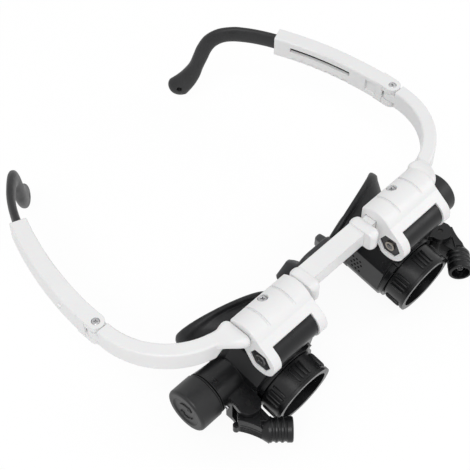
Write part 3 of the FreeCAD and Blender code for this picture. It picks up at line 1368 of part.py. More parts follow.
def ear_tip():
    """Soft ear tip that bends down behind the ear to a slim neck and flares to a toe with a cord hole."""
    bend_length = f"(2 * {BEND_STEPS} * hook_radius * sin(hook_dive / {2 * BEND_STEPS}))"
    stretches = [
        ("tip_first_length", "tip_first_turn", UPWARD, "tip_tall", "tip_thick", 2),
        ("tip_second_length", "tip_second_turn", UPWARD, "tip_tall", "tip_thick", 2),
        (bend_length, "-hook_dive", ACROSS, "neck_tall", "neck_thick", BEND_STEPS),
        ("neck_length", "0", ACROSS, "neck_tall", "neck_thick", 3),
        ("toe_length", "toe_turn", ACROSS, "toe_tall", "toe_thick", 2),
        ("toe_end_length", "0", ACROSS, "(toe_tall - toe_end_length)", "(toe_thick - toe_end_length)", 1),
    ]
    path = [ARM_PLACE, move(turn="arm_end + tip_start_gap"), move("arm_radius", "0", "-tip_level")]
    tall, thick = "tip_tall", "tip_thick"
    sections = [tip_section(0, path, tall, thick)]
    for length, turn, axis, end_tall, end_thick, parts in stretches:
        half_turn = move(turn=f"{turn} / {2 * parts}", axis=axis)
        for part in range(1, parts + 1):
            path += [half_turn, move("0", f"{length} / {parts}"), half_turn]
            sections.append(tip_section(len(sections), path, f"{tall} + ({end_tall} - {tall}) * {part} / {parts}",
                                        f"{thick} + ({end_thick} - {thick}) * {part} / {parts}"))
        tall, thick = end_tall, end_thick
    loft = new_part("Loft", "ear_tip_solid")
    loft.Sections = sections
    loft.Solid = True
    return bored_tip(loft, path)


def tip_section(place, path, tall, thick):
    """One oval of the ear tip."""
    oval = new_part("Ellipse", f"ear_tip_section_{place}", *path, move(turn="-90", axis=ACROSS), move(turn="90"))
    bind(oval, "MajorRadius", f"({tall}) / 2")
    bind(oval, "MinorRadius", f"({thick}) / 2")
    return oval


def bored_tip(solid, path):
    """Cut the tang's pocket and the cord hole from the ear tip."""
    tang_room = new_body("tang_room", ARM_PLACE)
    half = "(tang_thickness / 2 + running_gap)"
    sketch = band(sketch_on(tang_room, "XY_Plane", "-tip_level + tang_height / 2 + running_gap"),
                  f"arm_radius - {half}", f"arm_radius + {half}", "arm_end - tip_start_gap", "core_end + tip_start_gap")
    pad(tang_room, sketch, "tang_height + 2 * running_gap", backwards=True)
    drill = new_part("Cylinder", "cord_hole", *path, move("-toe_thick", "-cord_hole_inset", "0", "90", BACK))
    bind(drill, "Radius", "cord_hole_radius")
    bind(drill, "Height", "2 * toe_thick")
    cuts = new_part("Fuse", "ear_tip_cuts")
    cuts.Base = tang_room
    cuts.Tool = drill
    tip = new_part("Cut", "ear_tip_left")
    tip.Base = solid
    tip.Tool = cuts
    return tip


MIDDLE_PIECES = [front_frame, nose_pad]
SIDE_PIECES = [
    saddle, lock_screw, hinge_bushes, hinge_screw, hinge_nut,
    loupe_body, lens_barrel, front_lens, front_lens_ring, rear_lens, rear_lens_ring, eyecup,
    contact_disc, battery_cells, contact_plunger, battery_cap, cap_seal, cap_contact,
    lamp_pin, lamp_holder, lamp_bulb,
    temple_arm, temple_screw, ear_tip_core, ear_tip,
]


def build_all():
    """Build the middle pieces, the left-hand pieces and their right-hand twins."""
    pieces = [make() for make in MIDDLE_PIECES]
    for make in SIDE_PIECES:
        left = make()
        pieces += [left, mirror_of(left, left.Label.replace("_left", "_right"))]
    return pieces


def check_and_write(pieces):
    """Write each piece to parts/ once every object is sound."""
    doc.recompute()
    problems = [f"{item.Label}: {item.State}" for item in doc.Objects
                if "Invalid" in item.State or "Error" in item.State]
    problems += [f"{piece.Label}: no valid shape" for piece in pieces
                 if piece.Shape.isNull() or not piece.Shape.isValid()]
    if problems:
        raise ValueError("\n".join(problems))
    os.makedirs("parts", exist_ok=True)
    for piece in pieces:
        piece.Shape.exportStep(f"parts/{piece.Label}.step")
        print(piece.Label, len(piece.Shape.Solids), round(piece.Shape.Volume, 1))


check_and_write(build_all())
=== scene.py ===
import math

import bmesh
import bpy
from mathutils import Matrix, Vector


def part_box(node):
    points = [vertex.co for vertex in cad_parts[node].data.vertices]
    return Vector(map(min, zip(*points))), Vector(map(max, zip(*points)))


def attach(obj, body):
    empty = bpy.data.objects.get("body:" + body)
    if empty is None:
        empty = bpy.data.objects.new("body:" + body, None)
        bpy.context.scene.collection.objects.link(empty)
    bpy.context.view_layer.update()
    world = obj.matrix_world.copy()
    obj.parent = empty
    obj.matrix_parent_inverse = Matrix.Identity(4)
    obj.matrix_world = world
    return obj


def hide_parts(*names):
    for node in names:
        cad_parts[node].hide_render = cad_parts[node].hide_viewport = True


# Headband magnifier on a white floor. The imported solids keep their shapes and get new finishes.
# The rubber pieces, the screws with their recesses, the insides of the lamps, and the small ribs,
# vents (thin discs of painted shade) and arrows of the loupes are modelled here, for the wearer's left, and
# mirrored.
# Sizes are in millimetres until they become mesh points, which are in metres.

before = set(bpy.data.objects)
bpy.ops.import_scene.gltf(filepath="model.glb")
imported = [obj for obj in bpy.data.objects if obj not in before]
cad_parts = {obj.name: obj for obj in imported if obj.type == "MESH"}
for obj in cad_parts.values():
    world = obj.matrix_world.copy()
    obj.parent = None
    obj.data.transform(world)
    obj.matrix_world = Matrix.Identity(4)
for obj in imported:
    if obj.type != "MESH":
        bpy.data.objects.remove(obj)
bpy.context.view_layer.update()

MM = 0.001
SIDES = ("left", "right")

# places, the main ones taken over from the solids


def turn(degrees, axis):
    """Rotation matrix about X, Y or Z."""
    return Matrix.Rotation(math.radians(degrees), 4, axis)


def move(across=0, along=0, up=0):
    """Translation matrix along X, Y and Z in millimetres."""
    return Matrix.Translation((across, along, up))


def middle(node):
    """Middle of a CAD node's box in millimetres."""
    low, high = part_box(node)
    return (low + high) / 2 / MM


def top(node):
    """Top level of a CAD node in millimetres."""
    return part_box(node)[1].z / MM


LOCK_SCREW = middle("lock_screw_left")
HINGE_SCREW = middle("hinge_screw_left")
TEMPLE_SCREW = middle("temple_screw_left")
LAMP_PIN = middle("lamp_pin_left")
BAR_TOP = top("temple_arm_left")

# on the middle plane, in line with the lock screws and at the top of the bar
AT_BAR = move(along=LOCK_SCREW.y, up=BAR_TOP)
# the lens barrel's lip lies in front of the lock screw and below the bar
LIP_FRONT = 19.2
LIP_DROP = 32
LOUPE_PITCH = 10
# line of sight: its Y runs back from the middle of the lip towards the eye
SIGHT = AT_BAR @ move(LOCK_SCREW.x, -LIP_FRONT, -LIP_DROP) @ turn(LOUPE_PITCH, "X")


# materials

class Shader:
    """A material with a principled surface and short calls for the nodes that feed it."""

    def __init__(self, name, **values):
        self.material = bpy.data.materials.new(name)
        self.material.use_nodes = True
        self.tree = self.material.node_tree
        self.skin = self.tree.nodes["Principled BSDF"]
        self.place = self.node("ShaderNodeTexCoord").outputs["Object"]
        for socket, value in values.items():
            self.skin.inputs[socket.replace("_", " ")].default_value = value

    def node(self, kind, **settings):
        """A new node with its settings."""
        made = self.tree.nodes.new(kind)
        for setting, value in settings.items():
            setattr(made, setting, value)
        return made

    def join(self, output, target):
        """Link an output to an input."""
        self.tree.links.new(output, target)

    def noise(self, size, detail, stretch=(1, 1, 1)):
        """Noise whose features are about as large as a size in millimetres."""
        mapping = self.node("ShaderNodeMapping")
        mapping.inputs["Scale"].default_value = stretch
        self.join(self.place, mapping.inputs["Vector"])
        made = self.node("ShaderNodeTexNoise")
        made.inputs["Scale"].default_value = 1 / (size * MM)
        made.inputs["Detail"].default_value = detail
        self.join(mapping.outputs["Vector"], made.inputs["Vector"])
        return made.outputs["Fac"]

    def spread(self, factor, low, high, start=0.35, end=0.65):
        """A number that goes from low to high as the factor goes from start to end."""
        made = self.node("ShaderNodeMapRange")
        made.inputs["From Min"].default_value = start
        made.inputs["From Max"].default_value = end
        made.inputs["To Min"].default_value = low
        made.inputs["To Max"].default_value = high
        self.join(factor, made.inputs["Value"])
        return made.outputs["Result"]

    def blend(self, factor, first, second):
        """A colour between two, each a colour or a node's output."""
        made = self.node("ShaderNodeMix", data_type="RGBA")
        self.join(factor, made.inputs["Factor"])
        for socket, colour in (("A", first), ("B", second)):
            target = [i for i in made.inputs if i.name == socket and i.type == "RGBA"][0]
            if isinstance(colour, tuple):
                target.default_value = (*colour, 1)
            else:
                self.join(colour, target)
        return [o for o in made.outputs if o.type == "RGBA"][0]

    def relief(self, height, depth, below=None):
        """Bump normal for a depth in millimetres, over another normal if one is given."""
        made = self.node("ShaderNodeBump")
        made.inputs["Distance"].default_value = depth * MM
        self.join(height, made.inputs["Height"])
        if below is not None:
            self.join(below, made.inputs["Normal"])
        return made.outputs["Normal"]

    def soft_edge(self, radius):
        """Normal that rounds sharp edges to a radius in millimetres."""
        made = self.node("ShaderNodeBevel", samples=6)
        made.inputs["Radius"].default_value = radius * MM
        return made.outputs["Normal"]

    def feed(self, **links):
        """Links into the principled surface."""
        for socket, output in links.items():
            self.join(output, self.skin.inputs[socket.replace("_", " ")])


def moulded_plastic(name, colour, shade, roughness, grain, edge, **values):
    """Injection-moulded plastic: faint clouding, uneven gloss, fine grain and soft edges."""
    shader = Shader(name, **values)
    clouds = shader.noise(size=9, detail=4)
    grain_height = shader.noise(size=0.22, detail=2)
    flow = shader.noise(size=4, detail=2, stretch=(1, 0.4, 0.4))
    shader.feed(
        Base_Color=shader.blend(shader.spread(clouds, 0, 1), colour, shade),
        Roughness=shader.spread(flow, *roughness),
        Normal=shader.relief(grain_height, depth=grain, below=shader.soft_edge(edge)),
    )
    return shader.material


def white_plastic():
    """Glossy white of the frame, saddles and arms."""
    return moulded_plastic(
        "white_plastic", colour=(0.83, 0.83, 0.83), shade=(0.815, 0.815, 0.818),
        roughness=(0.28, 0.36), grain=0.0015, edge=0.35,
        Specular_IOR_Level=0.4, Subsurface_Weight=0.06, Subsurface_Scale=0.0008)


def black_plastic():
    """Satin black of the loupes."""
    return moulded_plastic(
        "black_plastic", colour=(0.005, 0.0052, 0.0058), shade=(0.008, 0.0082, 0.009),
        roughness=(0.25, 0.36), grain=0.004, edge=0.25, Specular_IOR_Level=0.33)


def cap_plastic():
    """Slightly lighter, duller black of the battery caps."""
    return moulded_plastic(
        "cap_plastic", colour=(0.014, 0.0142, 0.0148), shade=(0.019, 0.0192, 0.02),
        roughness=(0.34, 0.46), grain=0.006, edge=0.3, Specular_IOR_Level=0.35)


def barrel_plastic():
    """Dark grey of the bushes in the flip hinges."""
    return moulded_plastic(
        "barrel_plastic", colour=(0.011, 0.0113, 0.0125), shade=(0.015, 0.0153, 0.017),
        roughness=(0.34, 0.46), grain=0.005, edge=0.25, Specular_IOR_Level=0.32)


def soft_rubber():
    """Matt rubber with a fine moulded texture and a little dust in its bloom."""
    shader = Shader("soft_rubber", Sheen_Weight=0.03, Sheen_Roughness=0.5, Specular_IOR_Level=0.3)
    dust = shader.noise(size=3.5, detail=6)
    skin = shader.noise(size=0.35, detail=3)
    bloom = shader.spread(dust, 0, 1, start=0.45, end=0.7)
    shader.feed(
        Base_Color=shader.blend(bloom, (0.009, 0.0092, 0.0102), (0.016, 0.0162, 0.0175)),
        Roughness=shader.spread(skin, 0.42, 0.52),
        Normal=shader.relief(skin, depth=0.02),
    )
    return shader.material


def tip_rubber():
    """Charcoal rubber of the ear tips, rubbed a little glossy."""
    shader = Shader("tip_rubber", Sheen_Weight=0.06, Sheen_Roughness=0.45, Specular_IOR_Level=0.3)
    cloud = shader.noise(size=6, detail=4)
    skin = shader.noise(size=0.3, detail=3)
    shader.feed(
        Base_Color=shader.blend(shader.spread(cloud, 0, 1), (0.02, 0.0202, 0.021), (0.028, 0.0283, 0.0295)),
        Roughness=shader.spread(cloud, 0.42, 0.55),
        Normal=shader.relief(skin, depth=0.015),
    )
    return shader.material


def pad_silicone():
    """Smooth dark silicone that lets a little light in."""
    shader = Shader("pad_silicone", Subsurface_Weight=0.15, Subsurface_Scale=0.001, Specular_IOR_Level=0.45)
    cloud = shader.noise(size=5, detail=3)
    skin = shader.noise(size=0.4, detail=2)
    shader.feed(
        Base_Color=shader.blend(shader.spread(cloud, 0, 1), (0.02, 0.0205, 0.023), (0.03, 0.0305, 0.033)),
        Roughness=shader.spread(cloud, 0.36, 0.48),
        Normal=shader.relief(skin, depth=0.01),
    )
    return shader.material


def metal(name, colour, shade, roughness):
    """Turned metal with fine tool marks and uneven shine."""
    shader = Shader(name, Metallic=1)
    marks = shader.noise(size=0.25, detail=4)
    stains = shader.noise(size=2, detail=4)
    shader.feed(
        Base_Color=shader.blend(shader.spread(stains, 0, 1), colour, shade),
        Roughness=shader.spread(marks, *roughness),
        Normal=shader.relief(marks, depth=0.006, below=shader.soft_edge(radius=0.12)),
    )
    return shader.material


def lens_glass():
    """Clear coated glass with a few specks of dust."""
    shader = Shader("lens_glass", Transmission_Weight=1, IOR=1.52, Coat_Weight=0.4, Coat_Roughness=0.02)
    dust = shader.noise(size=0.8, detail=5)
    specks = shader.spread(dust, 0, 1, start=0.55, end=0.75)
    shader.feed(
        Base_Color=shader.blend(specks, (0.975, 0.985, 0.98), (0.93, 0.94, 0.935)),
        Roughness=shader.spread(dust, 0, 0.04, start=0.6, end=0.8),
    )
    return shader.material


def lamp_dome():
    """Clear cast resin of the lamp, with slight flow lines."""
    shader = Shader("lamp_dome", Transmission_Weight=1, IOR=1.5)
    flow = shader.noise(size=1.2, detail=3)
    shader.feed(
        Base_Color=shader.blend(shader.spread(flow, 0, 1), (0.97, 0.98, 1.0), (0.93, 0.95, 0.98)),
        Roughness=shader.spread(flow, 0.01, 0.05),
        Normal=shader.relief(flow, depth=0.01),
    )
    return shader.material


def lamp_chip():
    """Yellow phosphor of the lamp's chip."""
    shader = Shader("lamp_chip", Roughness=0.5)
    grain = shader.noise(size=0.2, detail=3)
    shader.feed(
        Base_Color=shader.blend(grain, (0.85, 0.62, 0.08), (0.95, 0.78, 0.2)),
        Normal=shader.relief(grain, depth=0.02),
    )
    return shader.material


def painted_hole_shade():
    """Near-black painted shade that stands in for the dark inside a small hole, with a trace of dust."""
    shader = Shader("painted_hole_shade", Specular_IOR_Level=0.05, Roughness=0.9)
    dust = shader.noise(size=0.6, detail=3)
    shader.feed(Base_Color=shader.blend(dust, (0.001, 0.001, 0.001), (0.004, 0.004, 0.004)))
    return shader.material


MATERIALS = {
    "white": white_plastic(),
    "black": black_plastic(),
    "cap": cap_plastic(),
    "barrel": barrel_plastic(),
    "rubber": soft_rubber(),
    "tip": tip_rubber(),
    "silicone": pad_silicone(),
    "glass": lens_glass(),
    "dome": lamp_dome(),
    "chip": lamp_chip(),
    # near-black painted shade for the vents, which are drawn as discs and not as holes
    "hole_shade": painted_hole_shade(),
    "dark_steel": metal("dark_steel", (0.12, 0.12, 0.125), (0.17, 0.165, 0.16), (0.3, 0.45)),
    "steel": metal("bright_steel", (0.56, 0.56, 0.57), (0.46, 0.46, 0.47), (0.22, 0.4)),
    "cell": metal("cell_steel", (0.72, 0.72, 0.73), (0.62, 0.62, 0.63), (0.12, 0.25)),
    "blackened": metal("blackened_steel", (0.035, 0.035, 0.037), (0.05, 0.049, 0.047), (0.4, 0.55)),
    "plated": metal("plated_brass", (0.4, 0.37, 0.32), (0.3, 0.27, 0.23), (0.28, 0.45)),
    "brass": metal("brass", (0.72, 0.5, 0.2), (0.58, 0.39, 0.16), (0.25, 0.42)),
}

FINISH = {
    "front_frame": "white", "saddle": "white", "temple_arm": "white",
    "loupe_body": "black", "lens_barrel": "black", "lamp_holder": "black",
    "front_lens_ring": "black", "rear_lens_ring": "black",
    "hinge_bushes": "barrel", "battery_cap": "cap",
    "front_lens": "glass", "rear_lens": "glass", "lamp_bulb": "dome",
    "eyecup": "rubber", "cap_seal": "rubber", "ear_tip": "tip", "nose_pad": "silicone",
    "lock_screw": "steel", "temple_screw": "steel", "hinge_screw": "dark_steel", "hinge_nut": "plated",
    "contact_disc": "brass", "contact_plunger": "steel", "cap_contact": "brass", "battery_cells": "cell",
    # the lamp pin's near black is partly its blackened finish and partly painted shade for the hole it sits
    # in, which is not modelled
    "lamp_pin": "blackened", "ear_tip_core": "blackened",
}


def finish_of(node):
    """The finish of a CAD node, from its name without the side."""
    return MATERIALS[FINISH[node.removesuffix("_left").removesuffix("_right")]]


def dress(piece, material):
    """Give a piece its material and smooth shading."""
    piece.data.materials.clear()
    piece.data.materials.append(material)
    for face in piece.data.polygons:
        face.use_smooth = True


def dress_solids():
    """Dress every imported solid."""
    for name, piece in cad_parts.items():
        dress(piece, finish_of(name))


# mesh helpers


def add_piece(mesh, finish, body):
    """A piece of the object, named as its mesh, that rides on a body."""
    piece = bpy.data.objects.new(mesh.name, mesh)
    bpy.context.scene.collection.objects.link(piece)
    dress(piece, MATERIALS[finish])
    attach(piece, body)
    return piece


def add_on_side(side, kind, lofts, finish, body, closed=False):
    """A piece for one side, from lofts, that rides on its side's body."""
    mesh = mesh_of(f"{kind}_{side}", lofts, side, closed)
    return add_piece(mesh, finish, f"{body}_{side}")


def mesh_of(name, lofts, side="left", closed=False):
    """Mesh of one or more lofts, each a list of rings of points that are drawn for the left side."""
    mirror = -1 if side == "right" else 1
    points = []
    faces = []
    for rings in lofts:
        faces += loft_faces(rings, len(points), closed)
        points += [(mirror * p.x * MM, p.y * MM, p.z * MM) for ring in rings for p in ring]
    mesh = bpy.data.meshes.new(name)
    mesh.from_pydata(points, [], faces)
    shape = bmesh.new()
    shape.from_mesh(mesh)
    bmesh.ops.recalc_face_normals(shape, faces=shape.faces)
    shape.to_mesh(mesh)
    shape.free()
    return mesh


def loft_faces(rings, first, closed):
    """Faces between rings whose points are numbered from a first one on. Open lofts get end caps."""
    count = len(rings[0])
    faces = []
    for span in range(len(rings) if closed else len(rings) - 1):
        here = first + span * count
        there = first + (span + 1) % len(rings) * count
        for i in range(count):
            after = (i + 1) % count
            faces.append((here + i, here + after, there + after, there + i))
    if not closed:
        last = first + (len(rings) - 1) * count
        faces.append(tuple(reversed(range(first, first + count))))
        faces.append(tuple(range(last, last + count)))
    return faces


def oval(place, half_width, half_height, count, fullness=1):
    """Ring in a place's cross plane (X and Z), squarer as fullness drops below 1."""
    ring = []
    for step in range(count):
        angle = 2 * math.pi * step / count
        across = math.copysign(abs(math.cos(angle)) ** fullness, math.cos(angle))
        up = math.copysign(abs(math.sin(angle)) ** fullness, math.sin(angle))
        ring.append(place @ Vector((half_width * across, 0, half_height * up)))
    return ring


def circle(place, radius, count):
    """Round ring in a place's cross plane."""
    return oval(place, radius, radius, count)


def around(axis, angle, along, radius):
    """Place on a circle about an axis, with its Y along that circle."""
    return axis @ move(along=along) @ turn(angle, "Y") @ move(radius) @ turn(90, "X")


def in_between(rings, steps):
    """More rings, on smooth curves through the points of the given ones."""
    made = []
    for place in range(len(rings) - 1):
        before = rings[max(place - 1, 0)]
        after = rings[min(place + 2, len(rings) - 1)]
        tracks = list(zip(before, rings[place], rings[place + 1], after))
        for step in range(steps):
            made.append([curve_point(*track, step / steps) for track in tracks])
    made.append(rings[-1])
    return made


def curve_point(before, start, end, after, share):
    """Point between start and end, on a smooth curve through all four points."""
    bend = 2 * before - 5 * start + 4 * end - after
    swing = 3 * start - before - 3 * end + after
    return start + 0.5 * share * (end - before + share * (bend + share * swing))


def between(start, end, share):
    """Value at a share of the way from start to end."""
    return start + (end - start) * share


def cut_away(piece, rings, side):
    """Take the loft through some rings out of a piece for good."""
    cutter = bpy.data.objects.new("cutter", mesh_of("cutter", [rings], side))
    bpy.context.scene.collection.objects.link(cutter)
    bpy.context.view_layer.update()
    step = piece.modifiers.new("cut", "BOOLEAN")
    step.operation = "DIFFERENCE"
    step.solver = "EXACT"
    step.object = cutter
    shape = piece.evaluated_get(bpy.context.evaluated_depsgraph_get())
    mesh = bpy.data.meshes.new_from_object(shape)
    piece.modifiers.remove(step)
    piece.data = mesh
    bpy.data.objects.remove(cutter)


# eyecups

EYECUP_WALL = 1.2
EYECUP_POINTS = 96
EYECUP_STEPS = 8
# seat on the loupe and waist: place behind the lip and radius
EYECUP_TUBE = ((24.8, 13.2), (30.2, 13.1))
RIM_YAW = 15
RIM_TILT = 7.3
RIM_PLACE = SIGHT @ move(across=0.5, along=37.7, up=2.3) @ turn(RIM_YAW, "Z") @ turn(RIM_TILT, "X")
RIM_HALF_WIDTH = 18
RIM_HALF_HEIGHT = 11.6
# lip round the rim: place along the rim's axis and distance inside its outline
LIP_PROFILE = (
    (-1.9, 1.4), (-1.6, 0.7), (-1.3, 0.15), (-0.9, 0), (-0.2, 0.1), (0.15, 0.5), (0.2, 1), (0, 1.4),
)
# the lip grows by a share at its wing, and the rim dips by millimetres beside it: middle and half
# width in degrees, amount
WING_SWELL = (15, 70, 0.9)
WING_DIP = (-38, 48, 2)


def swell(angle, middle_angle, half_width, amount):
    """Smooth rise to an amount and back, round a middle angle."""
    off = abs((angle - middle_angle + 180) % 360 - 180)
    return amount * (0.5 + 0.5 * math.cos(math.pi * min(off / half_width, 1)))


def rim_ring(along, inset):
    """Ring beside the rim's outline, swollen at the wing and dipping beside it."""
    ring = []
    for step in range(EYECUP_POINTS):
        angle = 360 * step / EYECUP_POINTS
        back = along * (1 + swell(angle, *WING_SWELL)) - swell(angle, *WING_DIP)
        across = (RIM_HALF_WIDTH - inset) * math.cos(math.radians(angle))
        up = (RIM_HALF_HEIGHT - inset) * math.sin(math.radians(angle))
        ring.append(RIM_PLACE @ Vector((across, back, up)))
    return ring


def eyecup_side(inset):
    """Rings from the loupe over the waist to the slanted rim, inset by so many millimetres."""
    tube = [circle(SIGHT @ move(along=back), radius - inset, EYECUP_POINTS) for back, radius in EYECUP_TUBE]
    along, slim = LIP_PROFILE[0]
    return in_between([*tube, rim_ring(along, slim + inset)], EYECUP_STEPS)


def add_eyecup(side):
    """Soft eyecup with a thick lip round its flared rim."""
    outside = eyecup_side(0)
    lip = [rim_ring(along, inset) for along, inset in LIP_PROFILE[1:]]
    inside = eyecup_side(EYECUP_WALL)[::-1]
    rings = outside + lip + inside
    cup = add_on_side(side, "soft_eyecup", [rings], finish="rubber", body="loupe", closed=True)
    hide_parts(f"eyecup_{side}")


# ear tips

# bow of the temple arm: its radius, and where it ends in degrees from the temple hinge
ARM_RADIUS = 132.7
ARM_END = 21.3
# middle of the tip's strip below the bar's top, and the bend behind the ear
TIP_LEVEL = 4.3
HOOK_BEND = 70
HOOK_RADIUS = 11.5
HOOK_PARTS = 3
HOOK_LENGTH = 2 * HOOK_PARTS * HOOK_RADIUS * math.sin(math.radians(HOOK_BEND / (2 * HOOK_PARTS)))
TIP_HEIGHT = 6.6
TIP_THICKNESS = 2.9
# stretches: length, turn in degrees and its axis, height and thickness at the end, parts
TIP_STRETCHES = (
    (9, 8, "Z", TIP_HEIGHT, TIP_THICKNESS, 2),
    (8, 12.4, "Z", TIP_HEIGHT, 3, 2),
    (HOOK_LENGTH, -HOOK_BEND, "X", 5.8, 3.8, HOOK_PARTS),
    (9.6, 0, "X", 5.6, 4.2, 2),
    (13.5, 24, "X", 9.2, 4.8, 3),
)
# the mouth's edge is rounded over a length, to these shares of height and thickness
MOUTH_ROUNDING = 0.4
MOUTH_SHARES = (0.94, 0.9)
# rounded end of the toe: its length, and places along it as shares of that
TOE_ROUNDING = 3.8
TOE_SHARES = (0.3, 0.55, 0.75, 0.88, 0.96, 0.995)
# cord hole, a little before the end of the last stretch
HOLE_SETBACK = 0.4
HOLE_RADIUS = 1.1
HOLE_REACH = 4


def tip_sections():
    """Places along the ear tip with the height and thickness of each, and the place of its toe."""
    bow_centre = move(TEMPLE_SCREW.x - ARM_RADIUS, TEMPLE_SCREW.y, BAR_TOP - TIP_LEVEL)
    place = bow_centre @ turn(ARM_END, "Z") @ move(ARM_RADIUS)
    tall, thick = TIP_HEIGHT, TIP_THICKNESS
    tall_share, thick_share = MOUTH_SHARES
    sections = [
        (place, tall_share * tall, thick_share * thick),
        (place @ move(along=MOUTH_ROUNDING), tall, thick),
    ]
    for length, bend, axis, end_tall, end_thick, parts in TIP_STRETCHES:
        half_turn = turn(bend / (2 * parts), axis)
        for part in range(1, parts + 1):
            place = place @ half_turn @ move(along=length / parts) @ half_turn
            share = part / parts
            sections.append((place, between(tall, end_tall, share), between(thick, end_thick, share)))
        tall, thick = end_tall, end_thick
    for share in TOE_SHARES:
        left = math.sqrt(1 - share ** 2)
        sections.append((place @ move(along=share * TOE_ROUNDING), tall * left, thick * math.sqrt(left)))
    return sections, place


def add_ear_tip(side):
    """Soft ear tip that bends down behind the ear and flares to a drilled toe."""
    sections, toe = tip_sections()
    rings = [oval(place, thick / 2, tall / 2, count=40, fullness=0.85) for place, tall, thick in sections]
    tip = add_on_side(side, "soft_ear_tip", [in_between(rings, steps=5)], finish="tip", body="tip")
    drill = toe @ move(along=-HOLE_SETBACK) @ turn(-90, "Z")
    ends = (drill @ move(along=reach) for reach in (-HOLE_REACH, HOLE_REACH))
    cut_away(tip, [circle(end, HOLE_RADIUS, count=24) for end in ends], side)
    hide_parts(f"ear_tip_{side}")


# nose pad

PAD_TILT = 16
PAD_PLACE = AT_BAR @ move(along=2.05, up=-4) @ turn(PAD_TILT, "X")
# left half of the arch, across and up: radius and centre of its bend, and the ends of its leg
PAD_BEND = 2.5
PAD_BEND_CENTRE = Vector((3.5, -4))
PAD_KNEE = PAD_BEND_CENTRE + Vector((PAD_BEND, 0))
PAD_FOOT = Vector((10, -16.5))
PAD_LEG_SHARES = (0.12, 0.22, 0.32, 0.5, 0.7, 0.9, 0.96, 1)
PAD_END_SHARES = (0.55, 0.85, 1)
PAD_WIDTH = 3
# the pad deepens over a length that starts below its knees
PAD_THIN = 3.4
PAD_DEEP = 7
PAD_DEEPENING_START = 1
PAD_DEEPENING_LENGTH = 3
PAD_POINTS = 28
# strip between pad and plug
STRIP_PLACE = AT_BAR @ move(along=1.6, up=-7.15)
STRIP_HALF_LENGTH = 3.4
STRIP_HALF_DEPTH = 3.8
STRIP_HALF_HEIGHT = 1.1
STRIP_ROUNDING = 0.3
STRIP_END_SHARE = 0.8


def pad_path():
    """Middle line of the arch, from foot to foot: across and up."""
    half = [PAD_BEND_CENTRE + Vector((-PAD_BEND_CENTRE.x, PAD_BEND))]
    for angle in range(90, -1, -18):
        reach = Vector((math.cos(math.radians(angle)), math.sin(math.radians(angle))))
        half.append(PAD_BEND_CENTRE + PAD_BEND * reach)
    half += [PAD_KNEE.lerp(PAD_FOOT, share) for share in PAD_LEG_SHARES]
    return [Vector((-p.x, p.y)) for p in reversed(half[1:])] + half


def pad_depth(level):
    """Depth of the arch at a level."""
    low = (PAD_KNEE.y - PAD_DEEPENING_START - level) / PAD_DEEPENING_LENGTH
    low = max(0, min(1, low))
    return between(PAD_THIN, PAD_DEEP, (3 - 2 * low) * low * low)


def add_nose_pad():
    """Silicone arch: thin over the nose, deep at its feet, with rounded ends."""
    path = pad_path()
    last = len(path) - 1
    rings = []
    for step, point in enumerate(path):
        along = path[min(step + 1, last)] - path[max(step - 1, 0)]
        lean = math.degrees(math.atan2(along.y, along.x))
        half_depth = pad_depth(point.y) / 2
        from_end = min(step, last - step)
        trim = PAD_END_SHARES[min(from_end, len(PAD_END_SHARES) - 1)]
        place = PAD_PLACE @ move(point.x, half_depth, point.y) @ turn(-lean, "Y") @ turn(-90, "Z")
        rings.append(oval(place, trim * half_depth, trim * PAD_WIDTH / 2, PAD_POINTS, fullness=0.5))
    mesh = mesh_of("soft_nose_pad", [rings])
    pad = add_piece(mesh, finish="silicone", body="frame")
    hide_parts("nose_pad")


def add_pad_strip():
    """Strip under the bridge that joins the pad to its plug."""
    end = STRIP_HALF_LENGTH
    full = STRIP_HALF_LENGTH - STRIP_ROUNDING
    rings = []
    for across, trim in ((-end, STRIP_END_SHARE), (-full, 1), (full, 1), (end, STRIP_END_SHARE)):
        place = STRIP_PLACE @ move(across) @ turn(-90, "Z")
        half_depth = trim * STRIP_HALF_DEPTH
        half_height = trim * STRIP_HALF_HEIGHT
        rings.append(oval(place, half_depth, half_height, PAD_POINTS, fullness=0.35))
    mesh = mesh_of("nose_pad_strip", [rings])
    add_piece(mesh, finish="silicone", body="frame")


# screws

# domed head: shares of its radius and of its height
HEAD_SHARES = ((0.35, 0), (0.7, 0.04), (0.9, 0.16), (1, 0.4), (1, 1))
# slots of the cross recess: level as a share of the head's height, half length and half width as
# shares of its radius
RECESS_SHARES = ((0.5, 0.66, 0.13), (-0.7, 0.34, 0.08))
RECESS_ANGLES = (45, 135)

# face of the hinge screw's head, from the middle of the hinge
HINGE_HEAD = 12.2
# each screw's place is in the face of its head, with +Y out of it
SCREWS = (
    {"kind": "lock_screw", "finish": "steel", "body": "saddle",
     "place": move(LOCK_SCREW.x, LOCK_SCREW.y, top("lock_screw_left")) @ turn(90, "X"),
     "radius": 1.65, "height": 1.1, "shank": 1, "length": 3},
    {"kind": "temple_screw", "finish": "steel", "body": "temple",
     "place": move(TEMPLE_SCREW.x, TEMPLE_SCREW.y, top("temple_screw_left")) @ turn(90, "X"),
     "radius": 1.35, "height": 0.8, "shank": 0.9, "length": 6.8},
    {"kind": "hinge_screw", "finish": "dark_steel", "body": "saddle",
     "place": move(HINGE_SCREW.x + HINGE_HEAD, HINGE_SCREW.y, HINGE_SCREW.z) @ turn(-90, "Z"),
     "radius": 2.1, "height": 0.5, "shank": 1.1, "length": 24.5},
)


